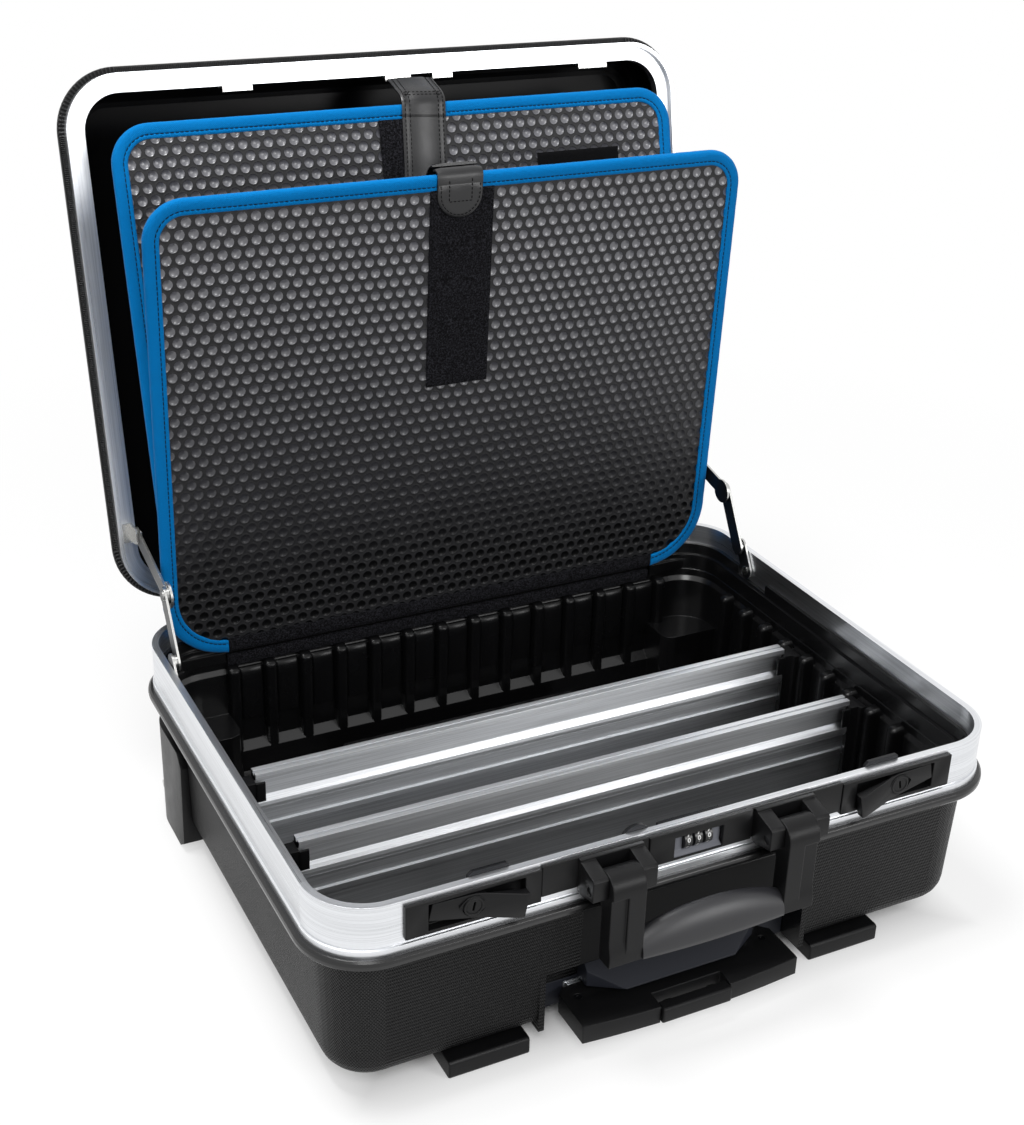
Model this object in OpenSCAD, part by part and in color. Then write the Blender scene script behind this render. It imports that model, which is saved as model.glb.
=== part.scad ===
// Hard tool case on wheels: a moulded base and lid in aluminium frames, two latches, a combination
// lock, a carrying handle, a telescopic trolley, two tool boards and two lift-out divider rails.
// All sizes in millimetres. The case stands on Z = 0 with its front towards -Y.

/* [Case] */
// Width of the case over the aluminium frame
case_w = 480; // [460:1:520]
// Depth of the case over the aluminium frame
case_d = 371.5; // [360:0.5:400]
// Outer corner radius of the frame
corner_r = 39.5; // [36:0.5:44]
// Height of the base, from the rim down to the underside of the floor
base_h = 137; // [130:1:170]
// Height of the lid above the rim when it is closed
lid_h = 52; // [48:1:70]
// Thickness of the moulded walls
wall = 4; // [3:0.5:4.5]
// Ground clearance under the floor
clear_h = 13; // [12.5:0.5:16]

/* [Frame] */
// Height of the aluminium band round the base
band_h = 34.4; // [33:0.2:38]
// Thickness of the band at the rim
band_t = 4.75; // [4:0.25:5.5]
// Width of the flat ring round the lid opening
ring_w = 13.3; // [12:0.1:14]
// How far the moulded bead stands out beyond the band
bead_out = 5; // [4:0.2:6]

/* [Lid hinge] */
// Opening angle of the lid
lid_angle = 101.56; // [95:0.01:104]
// Distance of the hinge axis behind the frame
hinge_back = 15.4; // [15:0.1:18]
// Depth of the hinge axis below the rim
hinge_drop = 8.8; // [8:0.1:9.5]
// Distance of each hinge from the middle of the case
hinge_x = 140; // [110:1:150]

/* [Latches] */
// Distance of the latch pivots from the sides of the case
latch_side = 89; // [84:0.5:92]
// Depth of the latch pivots below the rim
latch_z = 14.3; // [13.8:0.1:15]
// Angle by which the levers stand open
lever_open = 11.5; // [8:0.5:12]
// Radius of the key barrels
key_r = 4.9; // [4:0.1:5.2]
// Radius of the number wheels
dial_r = 6; // [5.5:0.1:6.4]

/* [Handle] */
// Distance of the handle arms from the middle
arm_x = 61.5; // [61:0.5:64]
// Width of each handle arm
arm_w = 22.6; // [20:0.2:23]
// Length of the handle below its pivot
handle_l = 53; // [46:1:56]
// Radius of the handle pins
handle_pin_r = 3; // [2.5:0.1:4]

/* [Trolley] */
// Width of the trolley grip
grip_w = 158; // [150:1:168]
// Distance of the trolley tubes from the middle
tube_x = 58; // [52:1:60]
// Wall thickness of the trolley tubes
tube_t = 1.3; // [1:0.1:1.4]
// Width of the inner trolley tube
tube_w = 22; // [18:0.5:22]
// Height of the inner trolley tube
tube_h = 9; // [8:0.2:9.4]

/* [Wheels] */
// Radius of the wheels over the tyre
wheel_r = 22; // [20:0.5:23]
// Width of the wheels
wheel_w = 22; // [18:0.5:22]
// Radius of the wheel axles
axle_r = 3; // [2.5:0.1:3.5]

/* [Dividers] */
// Spacing of the ribs that hold the dividers
rib_pitch = 27.4; // [26:0.1:28]
// Clearance between the divider rails and the trolley channel
divider_gap = 4; // [1:0.5:18]
// Spacing of the ribs on the rear wall
rear_pitch = 28.1; // [27:0.1:28.6]

/* [Tool boards] */
// Clearance of the front board to the side of the case
board_side = 14.7; // [14.7:0.1:20]
// How much shorter the front board is than the case is deep
board_short = 29.9; // [29.5:0.1:40]
// Clearance of the rear board to the side of the case
rear_board_side = 21.5; // [20:0.1:28]
// How much shorter the rear board is than the case is deep
rear_board_short = 34.5; // [33.5:0.1:50]
// Thickness of the boards over the binding
board_t = 6; // [5:0.2:6.2]
// Radius of the upper corners of the boards
board_r = 28; // [24:0.5:32]
// Radius of the lower corners of the boards
board_foot_r = 50; // [48:0.5:56]
// Width of the binding round the boards
binding_w = 10.7; // [9:0.1:13]

/* [Hidden] */
$fn = 48;

black = "#1d1d1f";
steel = "#b9bbbe";
alu = "#c8cacd";
blue = "#1673b8";
fabric = "#18181a";

stand_h = base_h + clear_h;
mid_y = case_d / 2;
frame_in = band_t;
bead_z = -band_h;
wall_in = 6.8;
draft = 2.7;
fil = 17;
inner_floor = -base_h + wall;
channel_top = -base_h + 19;
channel_w = grip_w / 2 + 16;
notch_top = -base_h + 44;
recess_d = 28;
tube_z = -base_h + 8.6;
gap = 0.2;
hinge_y = case_d + hinge_back;
lid_fil = 18;
lid_side = 5;
rim_gap = 0.3;
latch_x = case_w / 2 - latch_side;
board_w = case_w - 2 * board_side;
board_h = case_d - board_short;
rear_board_w = case_w - 2 * rear_board_side;
rear_board_h = case_d - rear_board_short;
fabric_half = board_w / 2 - board_foot_r + 3.7;

// Outline of the lid shell outside: [offset from the frame, height above the rim]
lid_outer = concat([[-2, 6], [-2, 8], [3, 8], [3.9, 9], [4.2, 10.8], [3.8, 13.2], [2.6, 14.8],
    [1, 15.5], [-1.5, 16.6]],
    [for (a = [0:15:90]) [-lid_side - lid_fil * (1 - cos(a)), lid_h - lid_fil * (1 - sin(a))]]);
// The case is centred in Y on the handle in front and the open lid behind
handle_front = 31.6;
function lid_back(p) = hinge_y + (hinge_y + p[0]) * -cos(lid_angle) + (p[1] + hinge_drop) * sin(lid_angle);
y_back = max([for (p = lid_outer) lid_back(p)]);
centre_y = (y_back - handle_front) / 2;

module placed() {
  translate([0, -centre_y, stand_h]) children();
}

// Puts a piece drawn on the closed lid into its open place
module on_lid() {
  translate([0, hinge_y, -hinge_drop])
    rotate([-lid_angle, 0, 0])
      translate([0, -hinge_y, hinge_drop]) children();
}

// Runs to both sides of the case
module both_sides() {
  children();
  mirror([1, 0, 0]) children();
}

module rounded_plate(w, d, r) {
  square([w - 2 * r, d], center = true);
  square([w, d - 2 * r], center = true);
  for (x = [-1, 1], y = [-1, 1])
    translate([x * (w / 2 - r), y * (d / 2 - r)]) circle(r = r);
}

// Sweeps a profile [radius, height] round a rectangle with corner centres inset by r
module sweep_round(w, d, r) {
  for (q = [[1, 1, 0], [-1, 1, 90], [-1, -1, 180], [1, -1, 270]])
    translate([q[0] * (w / 2 - r), q[1] * (d / 2 - r), 0])
      rotate([0, 0, q[2]]) rotate_extrude(angle = 90) children();
  for (a = [0, 180])
    rotate([0, 0, a])
      translate([w / 2 - r, d / 2 - r, 0]) rotate([90, 0, 0]) linear_extrude(d - 2 * r) children();
  for (a = [90, 270])
    rotate([0, 0, a])
      translate([d / 2 - r, w / 2 - r, 0]) rotate([90, 0, 0]) linear_extrude(w - 2 * r) children();
}

module around_case() {
  translate([0, mid_y, 0]) sweep_round(case_w, case_d, corner_r) children();
}

// Profile from points [offset from the frame face, height]
module offset_profile(points) {
  polygon([for (p = points) [corner_r + p[0], p[1]]]);
}

base_outside = concat([[bead_out - 1.8, bead_z], [bead_out - 0.4, bead_z - 1.2],
    [bead_out, bead_z - 3.2], [bead_out - 0.3, bead_z - 5.6], [bead_out - 1.5, bead_z - 7.2],
    [bead_out - 3, bead_z - 8], [-wall_in, bead_z - 9.5]],
    [for (a = [0:15:90]) [-wall_in - draft - fil * (1 - cos(a)), -base_h + fil * (1 - sin(a))]]);
in_r = fil - wall;
base_inside = concat([for (a = [90:-15:0])
    [-wall_in - draft - wall - in_r * (1 - cos(a)), inner_floor + in_r * (1 - sin(a))]],
    [[-wall_in - wall - 1.6, -47.5], [-wall_in - wall + 0.8, -44], [-wall_in - wall + 0.8, -38],
    [-9.5, -38], [-9.5, -25], [-7.5, -25], [-7.5, -16], [-band_t, -16], [-band_t, bead_z]]);

module shell_profile() {
  offset_profile(concat(base_outside, [[-corner_r, -base_h], [-corner_r, inner_floor]], base_inside));
}

// The whole outside of the base, filled, below the bead
module base_solid() {
  around_case()
    offset_profile(concat([[-corner_r, bead_z]], base_outside, [[-corner_r, -base_h]]));
  translate([0, mid_y, (bead_z - base_h) / 2])
    cube([case_w - 2 * corner_r, case_d - 2 * corner_r, base_h + bead_z], center = true);
}

// Wheel centre
wheel_x = case_w / 2 - 33;
wheel_y = case_d - 14.5;
wheel_z = -stand_h + wheel_r;
well_r = wheel_r + 3;
block_x = case_w / 2 - 60;
block_y = case_d - 46.5;

module wheel_well(r, x0, x1) {
  both_sides()
    translate([x0, wheel_y, wheel_z]) rotate([0, 90, 0]) cylinder(r = r, h = x1 - x0);
}

slot_y = 211.3;
rib_top = -44.5;
rib_tip = 21.5;
side_in = 12.4;

module side_rib() {
  x = case_w / 2 - rib_tip;
  translate([0, 0, -base_h + fil]) linear_extrude(base_h + rib_top - fil)
    polygon([[x + 9.6, -5], [x + 1.5, -4], [x, -2.6], [x, 2.6], [x + 1.5, 4], [x + 9.6, 5]]);
}

module rear_rib() {
  y = case_d - 19.5;
  translate([0, 0, -base_h + fil]) linear_extrude(base_h + rib_top - fil - 1)
    polygon([[-5, y + 8], [-4, y + 1.5], [-2.8, y], [2.8, y], [4, y + 1.5], [5, y + 8]]);
}

module base_shell() placed() color(black) {
  difference() {
    union() {
      around_case() shell_profile();
      translate([0, mid_y, -base_h + wall / 2])
        cube([case_w - 2 * corner_r, case_d - 2 * corner_r, wall], center = true);
      both_sides()
        for (k = [-4:4])
          translate([0, slot_y + (k - 0.5) * rib_pitch, 0]) side_rib();
      for (k = [-6:7])
        translate([k * rear_pitch - 7.5, 0, 0]) rear_rib();
      leaf([[case_d - 19.5, -base_h + 24], [case_d - 11, -base_h + 32], [case_d - 11, -base_h + fil],
        [case_d - 15.5, -base_h + 6], [case_d - 19.5, -base_h + 5]], 42 - case_w / 2, case_w / 2 - 42);
      both_sides()
        translate([case_w / 2 - 59, case_d - 12.3, -38]) cube([36, 3.5, 8.5]);
      translate([-channel_w - wall, 8.5, -base_h + 1])
        cube([2 * channel_w + 2 * wall, tube_back + wall - 4, channel_top + base_h + 2]);
      translate([-channel_w - wall, 8.5, -base_h + 1])
        cube([2 * channel_w + 2 * wall, recess_d - 5, notch_top + base_h + 2.5]);
      intersection() {
        union() {
          wheel_well(well_r + 4, block_x, wheel_x + wheel_w / 2 + 5);
          both_sides() translate([0, 0, -base_h + 1]) linear_extrude(55)
            polygon([[block_x, case_d], [block_x, block_y + 9], [block_x + 2.6, block_y + 2.6],
              [block_x + 9, block_y], [case_w / 2, block_y], [case_w / 2, case_d]]);
        }
        base_solid();
      }
    }
    translate([-channel_w, -20, -base_h - 5])
      cube([2 * channel_w, 20 + tube_back + 4.3, channel_top + base_h + 5]);
    translate([-channel_w, -20, -base_h - 5])
      cube([2 * channel_w, 20 + recess_d, notch_top + base_h + 5]);
    wheel_well(well_r, wheel_x - wheel_w / 2 - 2, wheel_x + wheel_w / 2 + 30);
    wheel_well(axle_r, wheel_x - wheel_w / 2 - 6, wheel_x);
    translate([-26, 4, -24]) cube([52, 9, 12]);
    both_sides()
      translate([case_w / 2 - 8.8, case_d - 102, -23.4]) cube([4.2, 38, 9]);
  }
}

module latch_window(s) {
  translate([s > 0 ? latch_x - 35 : -latch_x - 29.2, -3, -25]) cube([64.2, 10, 20.4]);
}

module base_frame() placed() color(alu) {
  difference() {
    union() {
      around_case() offset_profile([[-band_t, -16], [-band_t, 0], [0, 0], [0, -band_h], [-band_t, -band_h]]);
      around_case() offset_profile([[-1, -29], [1.2, -29.6], [1.2, -band_h], [-1, -band_h]]);
    }
    latch_window(1);
    latch_window(-1);
    translate([-18.5, -3, -22.8]) cube([37, 10, 16]);
  }
}

module lid_shell() placed() on_lid() color(black) {
  inner = [for (a = [90:-15:0])
    [-lid_side - wall - (lid_fil - wall) * (1 - cos(a)), lid_h - wall - (lid_fil - wall) * (1 - sin(a))]];
  around_case()
    offset_profile(concat(lid_outer, [[-corner_r, lid_h], [-corner_r, lid_h - wall]], inner,
      [[-6.2, 17], [-ring_w + 2, 13], [-ring_w + 2, 6]]));
  translate([0, mid_y, lid_h - wall / 2])
    cube([case_w - 2 * corner_r, case_d - 2 * corner_r, wall], center = true);
}

module lid_frame() placed() on_lid() color(alu) {
  around_case()
    offset_profile([[0, rim_gap], [0, 8], [-2, 8], [-2, 6], [-ring_w + 2, 6], [-ring_w + 2, 12],
      [-ring_w, 12], [-ring_w, 4], [-3, 4], [-3, rim_gap]]);
}

knuckle_r = 4.4;
pin_r = 2;

// One hinge: base knuckles outside, lid knuckle in the middle
module at_hinges() {
  for (x = [-hinge_x, hinge_x]) translate([x, 0, 0]) children();
}

module along_x(y, z, r, x0, x1) {
  translate([x0, y, z]) rotate([0, 90, 0]) cylinder(r = r, h = x1 - x0);
}

module leaf(points, x0, x1) {
  translate([x0, 0, 0]) rotate([90, 0, 90]) linear_extrude(x1 - x0) polygon(points);
}

module hinge_base() placed() color(steel) {
  d = case_d;
  at_hinges() difference() {
    union() {
      for (s = [[-30, -12.2], [12.2, 30]]) {
        leaf([[d, -5], [d, -28], [d + 2, -28], [hinge_y + 1, -hinge_drop - 4],
          [hinge_y, -hinge_drop + 4], [d + 3, -5]], s[0], s[1]);
        along_x(hinge_y, -hinge_drop, knuckle_r, s[0], s[1]);
      }
      leaf([[d, -17], [d, -28], [d + 2, -28], [d + 2, -17]], -30, 30);
    }
    along_x(hinge_y, -hinge_drop, pin_r + 0.05, -31, 31);
  }
}

module hinge_lid() placed() on_lid() color(steel) {
  d = case_d;
  at_hinges() difference() {
    union() {
      leaf([[d, 0.6], [d, 7.6], [d + 2, 7.6], [hinge_y + 3.4, -hinge_drop + 2.8],
        [hinge_y - 2, -hinge_drop - 3.9]], -12, 12);
      along_x(hinge_y, -hinge_drop, knuckle_r, -12, 12);
      leaf([[d, 0.6], [d, 7.6], [d + 2, 7.6], [d + 2, 0.6]], -30, 30);
    }
    along_x(hinge_y, -hinge_drop, pin_r + 0.05, -31, 31);
  }
}

module hinge_pins() placed() color(steel) {
  at_hinges() along_x(hinge_y, -hinge_drop, pin_r, -31, 31);
  at_hinges() {
    along_x(hinge_y, -hinge_drop, pin_r + 1.2, -32.2, -31);
    along_x(hinge_y, -hinge_drop, pin_r + 1.2, 31, 32.2);
  }
}

module latch_plates() placed() color(black) {
  both_sides() difference() {
    union() {
      translate([latch_x - 44.2, -2.6, -26.2]) cube([85.9, 2.6, 22.8]);
      translate([latch_x - 34.8, 0, -24.8]) cube([63.8, 4.5, 20]);
    }
    translate([latch_x - 33.4, -3, -23.9]) cube([61, 6.2, 18.2]);
  }
}

// A lever lies along X with its short arm outwards; its front bulges towards the inner end
module lever() {
  difference() {
    intersection() {
      rotate([90, 0, 0]) linear_extrude(30, center = true)
        polygon([[33, 8.2], [0, 8.2], [-26.3, 3], [-26.3, -8.2], [33, -8.2]]);
      linear_extrude(30, center = true)
        polygon([[-26.3, 2.6], [-26.3, -2.4], [-6, -3.2], [6, -3.8], [30.5, -8.6], [33, -8.2], [33, -2.9],
          [7, -2.9], [5, 2.6]]);
    }
    rotate([90, 0, 0]) cylinder(r = key_r + 0.05, h = 30, center = true);
  }
  rotate([90, 0, 0]) translate([0, 0, 2.2]) difference() {
    cylinder(r = key_r + 1.5, h = 2.2);
    translate([0, 0, -1]) cylinder(r = key_r + 0.05, h = 5);
  }
}

module lever_left() placed() color(black) {
  translate([-latch_x, 0, -latch_z]) rotate([0, lever_open, 0]) lever();
}

module lever_right() placed() color(black) {
  translate([latch_x, 0, -latch_z]) rotate([0, -lever_open, 0]) mirror([1, 0, 0]) lever();
}

module key_barrel() {
  rotate([90, 0, 0]) difference() {
    translate([0, 0, -2.5]) cylinder(r = key_r, h = 6.6);
    translate([-0.7, -3, 1.5]) cube([1.4, 6, 4]);
  }
}

module key_left() placed() color(steel)
  translate([-latch_x, 0, -latch_z]) rotate([0, lever_open, 0]) key_barrel();

module key_right() placed() color(steel)
  translate([latch_x, 0, -latch_z]) rotate([0, -lever_open, 0]) key_barrel();

module hook_bar(x) {
  translate([x, 7.1, 0]) rotate([90, 0, 0]) linear_extrude(2.2)
    polygon([[-9, -14], [35, -14], [35, -6], [26, -5], [26, 1.8], [24.5, 3], [2.5, 3], [0, 0.5], [0, -5],
      [-9, -6]]);
}

module hook_left() placed() color(black) hook_bar(-latch_x);
module hook_right() placed() color(black) hook_bar(latch_x - 23);

lock_z = 13.3;
dial_y = 2.6;
dial_pitch = 7.2;

module lock_plate() placed() color(black) {
  difference() {
    union() {
      translate([44.6 - latch_x, -2, -23.6]) cube([2 * latch_x - 89.2, 2, 21.4]);
      translate([-35, -3.4, -23.6]) cube([73, 1.6, 21.4]);
    }
    translate([-17.2, -6, -22.4]) cube([34.4, 8, 15.2]);
  }
}

module lock_window() placed() color(steel) {
  difference() {
    translate([-17, 0, 0]) rotate([90, 0, 90]) linear_extrude(34)
      polygon([[-2.8, -22.2], [0.2, -19.4], [0.2, -7.4], [1.8, -7.4], [1.8, -22.2]]);
    for (k = [-1:1])
      translate([k * dial_pitch, 0, -lock_z]) cube([5.6, 8, 12.2], center = true);
    along_x(dial_y, -lock_z, 1.6, -20, 20);
  }
}

module lock_cover() placed() color(black) {
  difference() {
    translate([-22, band_t, -23.5]) cube([44, 7.2, 20]);
    translate([-18, band_t - 1, -21]) cube([36, 6.6, 15.4]);
  }
}

module dial(k) {
  difference() {
    translate([k * dial_pitch - 2.6, dial_y, -lock_z]) rotate([0, 90, 0]) cylinder(r = dial_r, h = 5.2);
    along_x(dial_y, -lock_z, 1.55, -30, 30);
  }
}

module dial_1() placed() color("white") dial(-1);
module dial_2() placed() color("white") dial(0);
module dial_3() placed() color("white") dial(1);

module dial_axle() placed() color(steel) along_x(dial_y, -lock_z, 1.5, -18, 18);

cam_x = -40;
cam_r = 10.6;

module lock_cam() placed() color(black) {
  translate([cam_x, 7.3, -7]) rotate([90, 0, 0]) intersection() {
    cylinder(r = cam_r, h = 2.4);
    translate([-cam_r, -8, 0]) cube([2 * cam_r, 20, 3]);
  }
}

arm_y = -16.5;
arm_z = -17;
arm_r = 11;
ear_in = arm_x - arm_w / 2 - 0.2;
ear_out = arm_x + arm_w / 2 + 0.2;
ear_t = 10;

module handle_brackets() placed() color(black) {
  both_sides() difference() {
    union() {
      translate([ear_in - ear_t, -5, -26]) cube([ear_out - ear_in + 2 * ear_t, 3, 23.5]);
      for (x = [ear_in - ear_t, ear_out])
        leaf([[-2, -26], [-6, -26], [-21.5, -22], [-21.5, -8.5], [-20, -7], [-6, -4], [-2, -4]], x, x + ear_t);
    }
    along_x(arm_y, arm_z, handle_pin_r, 30, 90);
    along_x(arm_y, arm_z, arm_r + 0.4, ear_in, ear_out);
  }
}

module handle_arms() placed() color(black) {
  both_sides() difference() {
    union() {
      along_x(arm_y, arm_z, arm_r, arm_x - arm_w / 2, arm_x + arm_w / 2);
      leaf([[arm_y - arm_r, arm_z], [arm_y - arm_r, arm_z - handle_l + 2], [arm_y - arm_r + 2, arm_z - handle_l],
        [arm_y + 2, arm_z - handle_l], [arm_y + 2, arm_z - 8]], arm_x - arm_w / 2, arm_x + arm_w / 2);
    }
    along_x(arm_y, arm_z, handle_pin_r + 0.05, 30, 90);
    translate([arm_x - 1, arm_y - arm_r - 1, arm_z - handle_l + 13]) cube([9, 2.2, handle_l - 25]);
  }
}

module handle_grip() placed() color("#4a4b4d") {
  w = 2 * (arm_x - arm_w / 2);
  b = arm_z - handle_l + 1.5;
  intersection() {
    leaf([[-29.6, b], [-31.6, b + 1.6], [-31.6, b + 13.5], [-30.4, b + 16.5], [-26, b + 22],
      [-22, b + 25.6], [-18.6, b + 27], [-16.6, b + 25], [-16, b + 18], [-16, b + 2], [-18, b]], -w / 2, w / 2);
    translate([0, 0, b + 27 - 158]) rotate([90, 0, 0]) cylinder(r = 158, h = 60, $fn = 180);
  }
}

module handle_pins() placed() color(steel) {
  both_sides() along_x(arm_y, arm_z, handle_pin_r, ear_in - ear_t + 1, ear_out + ear_t - 1);
}

tube_back = case_d - 45;

module at_tubes() {
  both_sides() translate([tube_x, 0, tube_z]) children();
}

module tube(w, h, t, y0, y1) {
  difference() {
    translate([-w / 2, y0, -h / 2]) cube([w, y1 - y0, h]);
    translate([t - w / 2, y0 - 1, t - h / 2]) cube([w - 2 * t, y1 - y0 + 2, h - 2 * t]);
  }
}

mid_w = tube_w + 2 * (tube_t + gap);
mid_h = tube_h + 2 * (tube_t + gap);
out_w = mid_w + 2 * (tube_t + gap);
out_h = mid_h + 2 * (tube_t + gap);

module trolley_housing() placed() color("#505154") {
  difference() {
    union() {
      translate([-channel_w + 0.3, recess_d, -base_h])
        cube([2 * channel_w - 0.6, tube_back - recess_d + 4, channel_top + base_h - 0.2]);
      intersection() {
        leaf([[2.4, channel_top - 0.6], [4, channel_top + 0.6], [recess_d, notch_top - 4],
          [recess_d, channel_top - 0.6]], -62, 62);
        translate([0, 0, -base_h]) linear_extrude(base_h)
          polygon([[-62, recess_d], [-62, 16], [-40, 2.4], [40, 2.4], [62, 16], [62, recess_d]]);
      }
    }
    at_tubes() translate([-out_w / 2, 0, -out_h / 2]) cube([out_w, tube_back, out_h]);
  }
}

module tubes_outer() placed() color(alu) {
  at_tubes() tube(out_w, out_h, tube_t, recess_d + 1, tube_back);
}

module tubes_middle() placed() color(alu) {
  at_tubes() tube(mid_w, mid_h, tube_t, recess_d, tube_back - 6);
}

module tubes_inner() placed() color(alu) {
  at_tubes() tube(tube_w, tube_h, tube_t, 26, tube_back - 10);
}

grip_top = -base_h + 14.2;
grip_bot = -base_h + 0.6;
button_w = 50;

module trolley_grip() placed() color("#2a2b2d") {
  difference() {
    intersection() {
      leaf([[30, grip_bot], [-18, grip_bot], [-18, grip_top - 1.6], [-9, grip_top], [26, grip_top], [26, grip_bot]],
        -grip_w / 2, grip_w / 2);
      translate([0, 768, -base_h - 1]) cylinder(r = 784, h = 20, $fn = 360);
      translate([0, 0, -base_h - 1]) linear_extrude(20)
        polygon([[-grip_w / 2, -20], [grip_w / 2, -20], [grip_w / 2, 20], [grip_w / 2 - 6, 26],
          [6 - grip_w / 2, 26], [-grip_w / 2, 20]]);
    }
    translate([-button_w / 2 - 0.5, -30, grip_bot - 1]) cube([button_w + 1, 27, 20]);
    for (x = [-68.7, 68.7]) translate([x, 13.9, grip_top - 2]) cylinder(r = 2.6, h = 5);
  }
}

module trolley_button() placed() color("#2a2b2d") {
  leaf([[-6.6 - 3.6, grip_bot + 0.3], [-17, grip_bot + 0.3], [-18.6, grip_bot + 2],
    [-18.6, grip_top - 2.6], [-17.6, grip_top - 1.2], [-6.6 - 3.6, grip_top - 1.2]], -button_w / 2, button_w / 2);
  for (x = [-16, 16])
    translate([x - 3, -10.3, grip_bot + 4]) cube([6, 4, 5]);
}

module trolley_screws() placed() color(steel) {
  for (x = [-68.7, 68.7])
    translate([x, 13.9, grip_top - 2]) difference() {
      cylinder(r = 2.5, h = 1.7);
      translate([0, 0, 1]) cylinder(r = 1.2, h = 2, $fn = 6);
    }
}

module wheel_housings() placed() color(black) {
  difference() {
    intersection() {
      both_sides() leaf([[wheel_y - 65, -base_h + 61], [wheel_y - 57, -base_h + 70],
        [wheel_y + 21, -base_h + 70], [wheel_y + 21, wheel_z], [wheel_y + 13, -stand_h + 1],
        [wheel_y - 51, -stand_h + 1], [wheel_y - 61, -stand_h + 8]], wheel_x - 13, case_w / 2 - 2.5);
      translate([0, mid_y, -base_h - 20]) linear_extrude(base_h)
        rounded_plate(case_w - 5, case_d + 11, corner_r);
    }
    base_solid();
    wheel_well(well_r, wheel_x - wheel_w / 2 - 2, wheel_x + wheel_w / 2 + 2);
    wheel_well(axle_r, wheel_x - 20, case_w / 2 - 6);
  }
}

module wheel_axles() placed() color(steel) {
  wheel_well(axle_r, wheel_x - wheel_w / 2 - 6, case_w / 2 - 6);
}

module wheel(s) {
  x = s * wheel_x;
  difference() {
    along_x(wheel_y, wheel_z, wheel_r - 6, x - wheel_w / 2, x + wheel_w / 2);
    along_x(wheel_y, wheel_z, axle_r + 0.05, x - 20, x + 20);
    for (e = [-1, 1]) difference() {
      along_x(wheel_y, wheel_z, wheel_r - 9, x + e * (wheel_w / 2) - 3, x + e * (wheel_w / 2) + 3);
      along_x(wheel_y, wheel_z, axle_r + 3, x - 20, x + 20);
    }
  }
}

module tyre(s) {
  x = s * wheel_x;
  translate([x, wheel_y, wheel_z]) rotate([0, 90, 0]) rotate_extrude()
    polygon([[wheel_r - 6, -wheel_w / 2 + 0.5], [wheel_r - 1.5, -wheel_w / 2 + 0.5], [wheel_r, -wheel_w / 2 + 3],
      [wheel_r, wheel_w / 2 - 3], [wheel_r - 1.5, wheel_w / 2 - 0.5], [wheel_r - 6, wheel_w / 2 - 0.5]]);
}

module wheel_left() placed() color("#3a3a3c") wheel(-1);
module wheel_right() placed() color("#3a3a3c") wheel(1);
module tyre_left() placed() color(black) tyre(-1);
module tyre_right() placed() color(black) tyre(1);

module feet() placed() color(black) {
  both_sides()
    leaf([[7, -base_h - 1.5], [7, -stand_h + 1.5], [8.5, -stand_h], [52, -stand_h], [56, -base_h],
      [26, -base_h], [8.5, -base_h]], 105, 160);
}

divider_top = -36.5;
divider_end = case_w / 2 - 30;
divider_bot = channel_top + 3 + divider_gap;
divider_h = divider_top - divider_bot;
clip_half = rib_pitch / 2 - 5.1;

// Half outline of a divider rail: [half thickness, height below its top]
rail = [[0.9, 2.4], [0.9, 0], [4.6, 0], [4.6, 4], [1.5, 6.4], [1.5, 18.6], [3.4, 20.4], [4.9, 22.6], [5.2, 25],
    [4.6, 27.6], [2.9, 29.6], [1.5, 30.6], [1.5, 40.6], [3.2, 41.2], [3.2, 45.2], [1.5, 45.8]];

module divider(y) {
  foot = [[1.5, divider_h - 6], [3.5, divider_h - 5], [3.5, divider_h]];
  half = concat(rail, foot);
  n = len(half);
  leaf(concat([for (p = half) [y + p[0], divider_top - p[1]]],
    [for (i = [n - 1:-1:0]) [y - half[i][0], divider_top - half[i][1]]]), -divider_end, divider_end);
}

module clips(y) {
  both_sides() {
    translate([divider_end, y - 5.6, divider_bot])
      cube([case_w / 2 - rib_tip - divider_end - 0.4, 11.2, divider_h - 6]);
    translate([case_w / 2 - rib_tip - 1, y - clip_half, divider_bot]) cube([5, 2 * clip_half, divider_h - 6]);
    for (s = [-1, 1])
      translate([divider_end - 6, s > 0 ? y + 5.3 : y - 6.8, divider_top - 20.5]) cube([6.2, 1.5, 14.5]);
  }
}

front_y = slot_y - 3 * rib_pitch;

module divider_front() placed() color(alu) divider(front_y);
module divider_rear() placed() color(alu) divider(slot_y);
module clips_front() placed() color(black) clips(front_y);
module clips_rear() placed() color(black) clips(slot_y);

module strikes() placed() on_lid() color(steel) {
  for (x = [[-127.4, 22], [-4, 20], [33.8, 16], [156.5, 24.6]])
    translate([x[0], 0, 0]) {
      leaf([[ring_w, 2], [ring_w, 11.6], [ring_w + 1.6, 11.6], [ring_w + 1.6, 3.6], [ring_w + 4, 3.6],
        [ring_w + 4, 2]], 0, x[1]);
    }
}

// Lid stays: [y, z] of the pivots with the lid open
stay_b = [case_d - 73.5, -16];
stay_e = [case_d - 39.5, 41];
stay_l = [hinge_y + 14.7, 65.5 - hinge_drop];
upper_x = case_w / 2 - 12.4;
lower_x = case_w / 2 - 10.6;
stay_t = 1.6;

function turn(a, b) = atan2(b[1] - a[1], b[0] - a[0]);
function dist(a, b) = sqrt(pow(b[0] - a[0], 2) + pow(b[1] - a[1], 2));

module link(a, b, r, x0, x1) {
  l = dist(a, b);
  translate([x0, a[0], a[1]]) rotate([90, 0, 90]) rotate([0, 0, turn(a, b)]) linear_extrude(x1 - x0) {
    circle(r = r);
    translate([l, 0]) circle(r = r);
    translate([0, -r]) square([l, 2 * r]);
  }
}

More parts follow.
